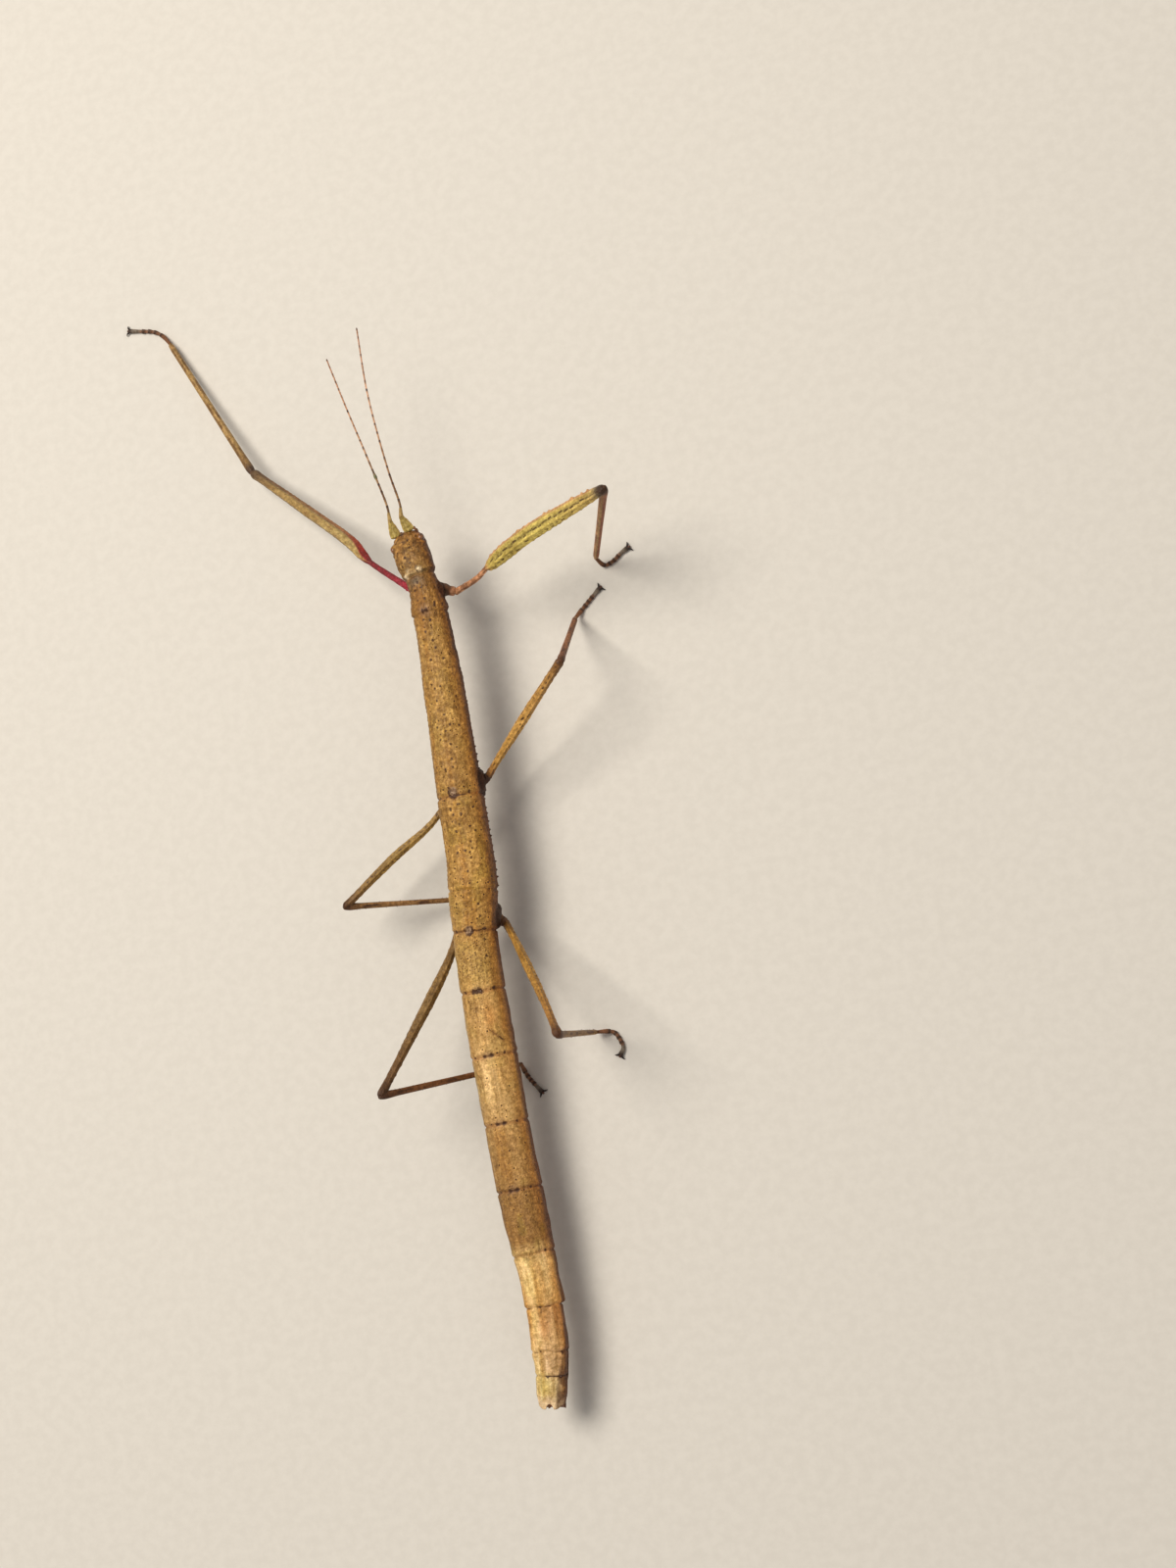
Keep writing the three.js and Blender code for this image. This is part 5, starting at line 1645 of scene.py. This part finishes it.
# %% [markdown]
# ### The left fore thigh
# Its neck and inner side are crimson, its outer side is straw with brown blotches. Two
# materials would meet in a stepped edge, so both colours are painted on the points, with
# a wandering border.

# %% Crimson and straw
# (share of the length, colour)
OUTER_TONES = [(0.22, 176, 136, 82), (0.3, 180, 152, 94), (0.45, 186, 160, 102),
               (0.6, 170, 140, 84), (0.8, 172, 142, 88), (0.92, 132, 104, 66),
               (1, 74, 52, 38)]
# along the thigh, and across it
BLOTCHES = [(0.43, -0.55), (0.48, 0.1), (0.56, 0.1), (0.55, -0.75), (0.7, -0.7),
            (0.79, -0.75), (0.62, -0.2), (0.86, -0.3)]
# along the thigh, and the turn at which the red ends
BORDER = [(0.2, -0.4), (0.25, 0.0), (0.3, 0.4), (0.36, 0.68), (0.44, 0.85)]


def crimson_paint(share, turn, grid):
    """Red on the neck and the inner side, straw on the outer side."""
    facing = wrapped(turn + 0.98)
    border = np.interp(share, *zip(*BORDER))
    inner = ease(facing, border - 0.2, border + 0.2) * (1 - ease(facing, 2.6, 2.95))
    inner = np.maximum(inner, 1 - ease(share + 0.05 * np.sin(facing), 0.2, 0.25))
    outer = tone_at(share, OUTER_TONES)
    across = np.sin(facing)
    for place, aside in BLOTCHES:
        away = np.hypot((share - place) / 0.022, (across - aside) / 0.3)
        outer = blend(outer, rgb(140, 100, 56), 0.6 * hump(away, 0, 1))
    outer = blend(outer, rgb(146, 114, 64), 0.8 * ease(-across, 0.7, 0.95))
    return blend(outer, tone_at(share, THIGH_TONES["fore_left"]), inner)


print("blotches on the straw side:", len(BLOTCHES))

# %% [markdown]
# ### The other thighs
# They are paler on their ridges, with cloudy blotches. The right fore thigh is an olive
# blade with a rosy upper edge, a brown lower one and a dark ditch between them.

# %% Colours of the other thighs
def blade_paint(colour, share, turn, grid):
    """The right fore thigh's blade and neck."""
    blade = ease(share, 0.235, 0.27) * (1 - ease(share, 0.9, 0.95))
    ditch = hump(turn, 0.0, 0.16) * ease(share, 0.28, 0.36)
    neck = (1 - ease(share, 0.22, 0.25)) * ease(cloudy(grid * 2.2, 64), 0.5, 0.66)
    colour = blend(colour, rgb(206, 146, 108), 0.8 * blade * hump(turn, -1.3, 0.5))
    colour = blend(colour, rgb(112, 78, 46), 0.6 * blade * hump(turn, 1.75, 0.3))
    colour = blend(colour, rgb(92, 78, 34), 0.6 * blade * ditch)
    return blend(colour, rgb(110, 72, 48), 0.7 * neck)


def thigh_paint(name):
    """The colours of one thigh."""
    def paint_of(share, turn, grid):
        turn = wrapped(turn)
        colour = tone_at(share, THIGH_TONES[name])
        colour = blend(colour, colour * (1.36, 1.34, 1.28), 0.5 * ridges(turn, 6, 3))
        blotch = ease(cloudy(grid * 0.8, 63), 0.55, 0.8)
        colour = blend(colour, colour * (0.74, 0.7, 0.6), 0.7 * blotch)
        if name == "fore_right":
            colour = blade_paint(colour, share, turn, grid)
        if name == "hind_right":
            colour = blend(colour, rgb(112, 70, 32), 0.6 * hump(turn, 1.5, 0.7))
        return colour
    return paint_of


print("paints: crimson_paint, thigh_paint")

# %% [markdown]
# ### Dashes on the thighs
# Short dark dashes run in rows between the ridges. Hand-drawn, they would be hundreds of
# strokes. Chance says at each step whether there is one, how long, and how it slants.

# %% Dashes on the thighs
# step in mm between the dark dashes, and their strength
DASHES = {"fore_right": (0.8, 0.95), "fore_left": (0.9, 0.35), "mid_left": (0.6, 0.9),
          "mid_right": (0.7, 0.9), "hind_left": (0.6, 0.4), "hind_right": (0.6, 0.75)}


def thigh_mark(name, length):
    """Dark dashes in rows between the ridges, and dots."""
    step_of, strength = DASHES[name]
    dash_wide = 0.13 if name.startswith("fore") else 0.2

    def mark_of(share, turn, grid):
        turn = wrapped(turn)
        row = np.round(turn / SIXTH)
        beside = turn / SIXTH - row
        step = share * length / step_of + chance(row, 0, 0, 65)
        number = np.floor(step)
        where = step - number - 0.5
        kept = chance(number, row, 1, 66) > 0.35
        dash_long = 0.06 + 0.24 * chance(number, row, 2, 67)
        near, picked = specks(share * length, turn * 0.8, 0.42, 62)
        dots = (picked > 0.62) * hump(near, 0, 0.1)
        if name == "fore_right":
            lower = (row == 1) * (chance(number, row, 5, 66) > 0.2)
            middle = (row == 0) * (share > 0.27)
            kept = np.where(np.abs(row - 0.5) < 1, middle + lower, kept * 0.6)
            dash_long = dash_long + 0.16 * (row == 0)
            dots = dots * (0.3 + 0.7 * hump(share, 0.3, 0.06))
        sway = 0.45 * (chance(number, row, 3, 68) - 0.5)
        slant = 0.3 * where * (chance(number, row, 4, 68) - 0.5)
        dash = kept * (1 - ease(np.abs(where), dash_long, dash_long + 0.14))
        dash = dash * hump(beside, sway + slant, dash_wide)
        dash = dash * (0.55 + 0.45 * chance(number, row, 6, 68))
        at_knee = ease(share, 0.9, 1)
        return strength * (dash + 0.6 * dots) * (1 - 0.5 * at_knee) + 0.35 * ease(share, 0.93, 0.99)
    return mark_of


print("rows of dashes on a thigh:", round(2 * math.pi / SIXTH))

# %% [markdown]
# ### Ridges and teeth of the thighs
# Each ridge carries small teeth, largest on the right fore leg. A tooth is a hump in the
# step along its ridge, so it needs no mesh of its own and grows out of the ridge.

# %% The relief of the thighs
# step in mm between the teeth, and their height
TEETH = {"fore_left": (0.6, 0.03), "fore_right": (0.82, 0.07)}
PLAIN_TEETH = (0.7, 0.045)
RIDGE_DROP = 0.035  # lets the ridges' crests lie on the solid's surface


def thigh_relief(name, length, wide_pairs):
    """Six ridges with a small tooth on them at every step."""
    tooth_step, tooth = TEETH.get(name, PLAIN_TEETH)
    blade_from = 0.15 if name.startswith("fore") else 1.0

    def relief_of(share, turn):
        size = np.interp(share, *zip(*wide_pairs)) / 2
        bulge = size * 0.05 * (2 * ridges(turn, 6, 2.2) - 1)
        turn = wrapped(turn)
        row = np.round((turn - SIXTH / 2) / SIXTH)
        step = share * length / tooth_step + 0.4 * chance(row, 0, 2, 69)
        number = np.floor(step)
        tall = 0.15 + 1.15 * chance(number, row, 0, 69)
        peak = 0.32 + 0.38 * chance(number, row, 1, 69)
        broad = 0.2 + 0.16 * chance(number, row, 2, 69)
        teeth = tooth * tall * hump(step - number, peak, broad) * ridges(turn, 6, 5)
        if name == "fore_right":
            teeth = teeth * (1 + 1.1 * (row == -2))
        blade = blade_from + (1 - blade_from) * ease(share, 0.24, 0.28)
        blade = blade * (1 - ease(share, 0.9, 0.95))
        wrinkle = 0.006 * np.sin(share * length * 5 + np.cos(turn * 2) * 2)
        lobes = 0.08 * ease(share, 0.93, 0.97) * hump(np.abs(np.sin(turn)), 0, 0.5)
        return bulge - RIDGE_DROP + teeth * blade + wrinkle + lobes
    return relief_of


print("teeth on the blade, step and height in mm:", TEETH["fore_right"])

# %% Building a thigh
crimson_skin = skin_finish("crimson_skin", pore_share=0.2, streaks=0.35, grains=0.8)
THIGH_FINISH = {"fore_right": (olive_skin, "cuticle_olive"),
                "fore_left": (crimson_skin, "cuticle_crimson")}
INSIDE_HIP = 0.25
PAST_KNEE = 0.19
THIGH_STEP = 0.085  # from one section to the next


def build_thigh(name, leg, sizes):
    """One thigh, from inside the hip to just past the knee."""
    hip, knee = np.array(leg["hip"]), np.array(leg["knee"])
    inside_hip = hip - unit(np.array(leg["bends"][0]) - hip) * INSIDE_HIP
    past_knee = knee + unit(knee - leg["bends"][-1]) * PAST_KNEE
    line = Path([inside_hip, *leg["bends"], past_knee])
    wide = rounded_ends(through(sizes["thigh_wide"]), 0.012, 0.012)
    high = rounded_ends(through(sizes["thigh_thick"]), 0.012, 0.012)
    colours = crimson_paint if name == "fore_left" else thigh_paint(name)
    finish, slot = THIGH_FINISH.get(name, (leg_skin, "leg_brown"))
    thigh = Clay()
    rod(thigh, line, wide, high, int(line.length / THIGH_STEP), 60, colours,
        thigh_mark(name, line.length), 0.4, lean_of(hip, knee, leg["turn"]),
        thigh_relief(name, line.length, sizes["thigh_wide"]), first=0.02 / line.length)
    thigh.mesh(f"femur_{name}_skin", finish, slot, f"femur_{name}")


print("finish made:", crimson_skin.name)

# %% [markdown]
# ### The shins
# A shin is a thin rod with four ridges, blotched in two browns and darkest at the knee.
# Short black thorns lean towards the foot. Scattered they would crowd, so they stand near
# the ridges at every half millimetre, each shifted a little.

# %% Colours of the shins
# the ground colour, and the blotches' colour
SHIN_TONES = {
    "fore_left": (rgb(172, 138, 86), rgb(130, 98, 58)),
    "fore_right": (rgb(186, 134, 86), rgb(150, 98, 60)),
    "mid_left": (rgb(142, 104, 62), rgb(78, 50, 30)),
    "mid_right": (rgb(136, 84, 46), rgb(92, 52, 30)),
    "hind_left": (rgb(118, 76, 44), rgb(80, 50, 30)),
    "hind_right": (rgb(142, 106, 60), rgb(100, 66, 38))}


def shin_paint(name, length):
    """The colours of one shin, paler on the ridges."""
    pale, dark = SHIN_TONES[name]
    crest = rgb(190, 162, 106) if name == "fore_right" else pale * 1.25
    knee = rgb(*THIGH_TONES[name][-1][1:])

    def paint_of(share, turn, grid):
        where = np.stack([share * length * 0.8, np.cos(turn), np.sin(turn)], -1)
        colour = blend(pale, dark, ease(cloudy(where, 73), 0.45, 0.62))
        colour = blend(colour, crest, 0.6 * ridges(turn, 4, 3))
        if name == "fore_right":
            # the right fore shin's brown side: partly its own colour, partly painted shade away
            # from the key lamp
            colour = blend(colour, rgb(140, 74, 40), 0.85 * ease(np.cos(turn + 2.3), 0.2, 0.6))
        colour = blend(colour, dark, 0.6 * (1 - ease(share, 0.06, 0.22)))
        colour = blend(colour, knee, 0.9 * (1 - ease(share, 0.03, 0.09)))
        return blend(colour, rgb(176, 136, 88), 0.5 * hump(share, 0.97, 0.02))
    return paint_of


print("shins:", ", ".join(SHIN_TONES))

# %% Building a shin
BEFORE_KNEE = 0.3
SHIN_STEP = 0.1  # from one section to the next
THORN_STEP = 0.55
THORN_BLACK = rgb(48, 26, 18)
QUARTERS = (0.25, 0.5, 0.75, 1.0)


def shin_relief(share, turn):
    """Four low ridges."""
    return 0.045 * ridges(turn, 4, 3) - 0.04


def build_shin(name, leg, sizes, picker):
    """One shin, from inside the knee to the ankle, with its thorns."""
    knee, ankle = np.array(leg["knee"]), np.array(leg["ankle"])
    line = Path([knee - unit(ankle - knee) * BEFORE_KNEE, ankle])
    lean = lean_of(knee, ankle, leg["turn"])
    size = rounded_ends(through(sizes["shin"]), 0.02, 0.02)
    shin = Clay()
    rod(shin, line, size, size, int(line.length / SHIN_STEP), 32,
        shin_paint(name, line.length), 0.0, 0.4, lean, shin_relief)
    for k in range(int(line.length / THORN_STEP)):
        place = (k + picker.uniform(0.2, 0.8)) * THORN_STEP
        share = place / line.length
        if not 0.08 < share < 0.97:
            continue
        turn = picker.choice(QUARTERS) * 2 * math.pi + picker.uniform(-0.2, 0.2)
        radius = float(size(np.array(share))) / 2
        thorn_on(shin, line, place, turn, radius * 0.85, 0.8, 0.13, 0.06, THORN_BLACK, 5, lean)
    shin.mesh(f"tibia_{name}_skin", leg_skin, "leg_brown", f"tibia_{name}")


print("places for thorns on 15 mm:", int(15 / THORN_STEP))

# %% [markdown]
# ### The feet
# A foot has five joints, and two hooked claws with a soft pad between them. The claws
# curve out of the foot's line, so they can't be part of its sweep.

# %% A foot's sizes and colours
foot_skin = skin_finish("foot_skin", pore_share=0.0, streaks=0.3, grains=0.7)
FOOT_ENDS = (0.0, 0.36, 0.5, 0.62, 0.74, 1.0)  # of the five joints, as shares of the foot


def foot_size(share):
    """A foot's width, greatest at the far end of each joint."""
    width = np.zeros_like(share)
    for start, end in zip(FOOT_ENDS, FOOT_ENDS[1:]):
        within = (share >= start) & (share <= end)
        part = (share - start) / (end - start)
        own = 0.38 + 0.13 * ease(part, 0.1, 0.85) - 0.13 * ease(part, 0.93, 1.0)
        width = np.where(within, own, width)
    return np.maximum(width, 0.34)


def foot_paint(share, turn, grid):
    """Brown joints with dark ends, and a pale sole."""
    colour = blend(rgb(126, 84, 56), rgb(116, 104, 92), ease(share, 0.74, 0.8))
    for end in FOOT_ENDS[1:]:
        colour = blend(colour, rgb(44, 28, 22), 0.85 * hump(share, end - 0.035, 0.04))
        colour = blend(colour, rgb(160, 128, 104), 0.5 * hump(share, end + 0.004, 0.01))
    return blend(colour, rgb(176, 130, 98), 0.5 * ease(-np.cos(turn), 0.5, 0.95))


def claws(clay, line):
    """Two hooked claws and the soft pad between them."""
    tip = line.at(np.array(line.length * 0.97))
    ahead = unit(line.along(np.array(line.length)) * (1, 1, 0))
    aside = np.cross(ahead, UP)
    size = rounded_ends(through([(0, 0.26), (0.4, 0.22), (0.8, 0.12), (1, 0.04)]), 0.05, 0.1)
    for sign in (-1, 1):
        bend = tip + ahead * 0.31 + aside * sign * 0.38
        point = tip + ahead * 0.36 + aside * sign * 0.62
        bend[2], point[2] = 0.27, 0.1
        rod(clay, Path([tip, bend, point]), size, size, 36, 14, rgb(34, 20, 16))
    soft = tip + ahead * 0.22
    soft[2] = 0.2
    pad(clay, soft, ahead, 0.42, 0.3, 0.26, rgb(96, 62, 50))


print("widest place of a foot:", round(foot_size(np.linspace(0, 1, 200)).max(), 2), "mm")

# %% [markdown]
# No point of a foot may lie below the floor. Its lowest points are pressed up to a hair
# above it, which flattens the soles as the insect's weight does.

# %% Building a foot
BEFORE_ANKLE = 0.15
SOLE = 0.012  # the height of the soles over the floor
FOOT_HAIRS = 40
HAIR_BROWN = rgb(70, 40, 30)


def build_foot(name, leg, picker):
    """One foot, from inside the ankle to the claws, with its hairs."""
    ankle = np.array(leg["ankle"])
    line = Path([ankle - unit(np.array(leg["toes"][0]) - ankle) * BEFORE_ANKLE, *leg["toes"]])
    size = rounded_ends(foot_size, 0.02, 0.03)
    foot = Clay()
    rod(foot, line, size, size, 260, 28, foot_paint,
        out=lambda share, turn: 0.012 * np.cos(turn * 6))
    claws(foot, line)
    for points in foot.points:
        points[:, 2] = np.maximum(points[:, 2], SOLE)
    for k in range(FOOT_HAIRS):
        place = picker.uniform(0.05, 0.97) * line.length
        turn = picker.uniform(-1.9, 1.9)
        radius = float(foot_size(np.array(place / line.length))) / 2
        thorn_on(foot, line, place, turn, radius * 0.85, 1.0, 0.13, 0.03, HAIR_BROWN, 4)
    foot.mesh(f"foot_{name}", foot_skin, "foot_dark", f"tarsus_{name}")


print("finish made:", foot_skin.name)

# %% [markdown]
# ### Building the six legs
# One loop builds all six legs. Each has its own chance, started from the letters of its
# name, so a change to one leg leaves the others alone.

# %% Building the six legs
for name, leg in LEGS.items():
    sizes = LIMB_SIZES[name.split("_")[0]]
    picker = random.Random(sum(map(ord, name)))
    build_hip(name, leg)
    build_thigh(name, leg, sizes)
    build_shin(name, leg, sizes, picker)
    build_foot(name, leg, picker)

# %% [markdown]
# ## The stage
# A plain pale card shows the thin legs better than a dark or patterned ground, and catches
# their soft shadows. It belongs to the stage, so it isn't a piece of the insect.

# %% The floor
CARD_DARK, CARD_LIGHT = (0.72, 0.69, 0.65, 1), (0.76, 0.73, 0.69, 1)
FLOOR_HALF = 1.5  # metres


def floor_finish():
    """A pale matt card with a very fine grain."""
    made, tree, shader = new_finish("pale_card")
    fibres = grain(tree, own_place(tree), 900.0, 4, 0.6)
    tone = mapped(tree, fibres, 0.3, 0.7, 0.0, 1.0)
    feed(tree, shader, [("Base Color", mixed(tree, tone, CARD_DARK, CARD_LIGHT)),
                        ("Roughness", 0.8), ("Normal", bumped(tree, 0.3, 0.00003, fibres))])
    return made


corners = [(FLOOR_HALF * x, FLOOR_HALF * y, 0) for x, y in ((-1, -1), (1, -1), (1, 1), (-1, 1))]
floor_mesh = bpy.data.meshes.new("floor")
floor_mesh.from_pydata(corners, [], [(0, 1, 2, 3)])
floor_mesh.materials.append(floor_finish())
floor = new_object("floor", floor_mesh)
print("floor:", 2 * FLOOR_HALF, "m wide, at height 0")

# %% [markdown]
# ## The camera
# The camera looks down from high above, a little from the right and from behind. A short
# lens nearer by would make the raised leg look too large. Its three ways are given
# directly, which leaves no doubt about its roll.

# %% The camera
LENS, SENSOR = 65.653, 36  # millimetres
EYE_POINT = Vector((-101.401383, 47.378114, 289.94068)) * MM
IMAGE_RIGHT = Vector((-0.94016848, 0.15950038, -0.30106953))
IMAGE_DOWN = Vector((0.19830971, 0.97472452, -0.10288524))
TOWARD_EYE = Vector((-0.27704962, 0.15643447, 0.94803574))
camera_data = bpy.data.cameras.new("camera")
camera_data.lens = LENS
camera_data.sensor_width = SENSOR
camera_data.clip_start = 0.01
camera_data.clip_end = 10
camera = new_object("camera", camera_data)
turned_to = Matrix((IMAGE_RIGHT, -IMAGE_DOWN, TOWARD_EYE)).transposed().to_4x4()
camera.matrix_world = Matrix.Translation(EYE_POINT) @ turned_to
bpy.context.scene.camera = camera
print("camera", round(EYE_POINT.length / MM), "mm from the frame's origin")

# %% [markdown]
# ## The light
# One large soft lamp from ahead and from the left models the back and leaves the right
# flank in shade. A weak warm lamp draws that flank's edge, and an even light keeps it
# readable. A sky picture would bring in colours of its own.

# %% Lamps and world
KEY = {"distance": 0.6, "size": 0.3, "power": 3.3, "colour": (1.0, 0.93, 0.81)}
RIM = {"distance": 0.8, "size": 0.5, "power": 0.5, "colour": (1.0, 0.86, 0.78)}
BODY_MIDDLE = Vector((0, 0, 0.006))
WORLD_COLOUR, WORLD_STRENGTH = (1.0, 0.97, 0.92, 1), 0.26


def lamp(name, way, distance, size, power, colour):
    """A soft lamp that looks at the insect's middle. Metres and watts."""
    data = bpy.data.lights.new(name, "AREA")
    data.size = size
    data.energy = power
    data.color = colour
    made = new_object(name, data)
    way = Vector(way).normalized()
    made.location = BODY_MIDDLE + way * distance
    made.rotation_euler = way.to_track_quat("Z", "Y").to_euler()


lamp("key", TOWARD_EYE * 0.85 - IMAGE_RIGHT * 0.7 - IMAGE_DOWN * 0.4, **KEY)
lamp("rim", (-0.6, 0.9, 0.7), **RIM)
world = bpy.data.worlds.new("studio")
world.use_nodes = True
feed(world.node_tree, world.node_tree.nodes["Background"],
     [(0, WORLD_COLOUR), (1, WORLD_STRENGTH)])
bpy.context.scene.world = world
bpy.context.scene.view_settings.view_transform = "Standard"
print("lamps:", KEY["power"], "and", RIM["power"], "watts")
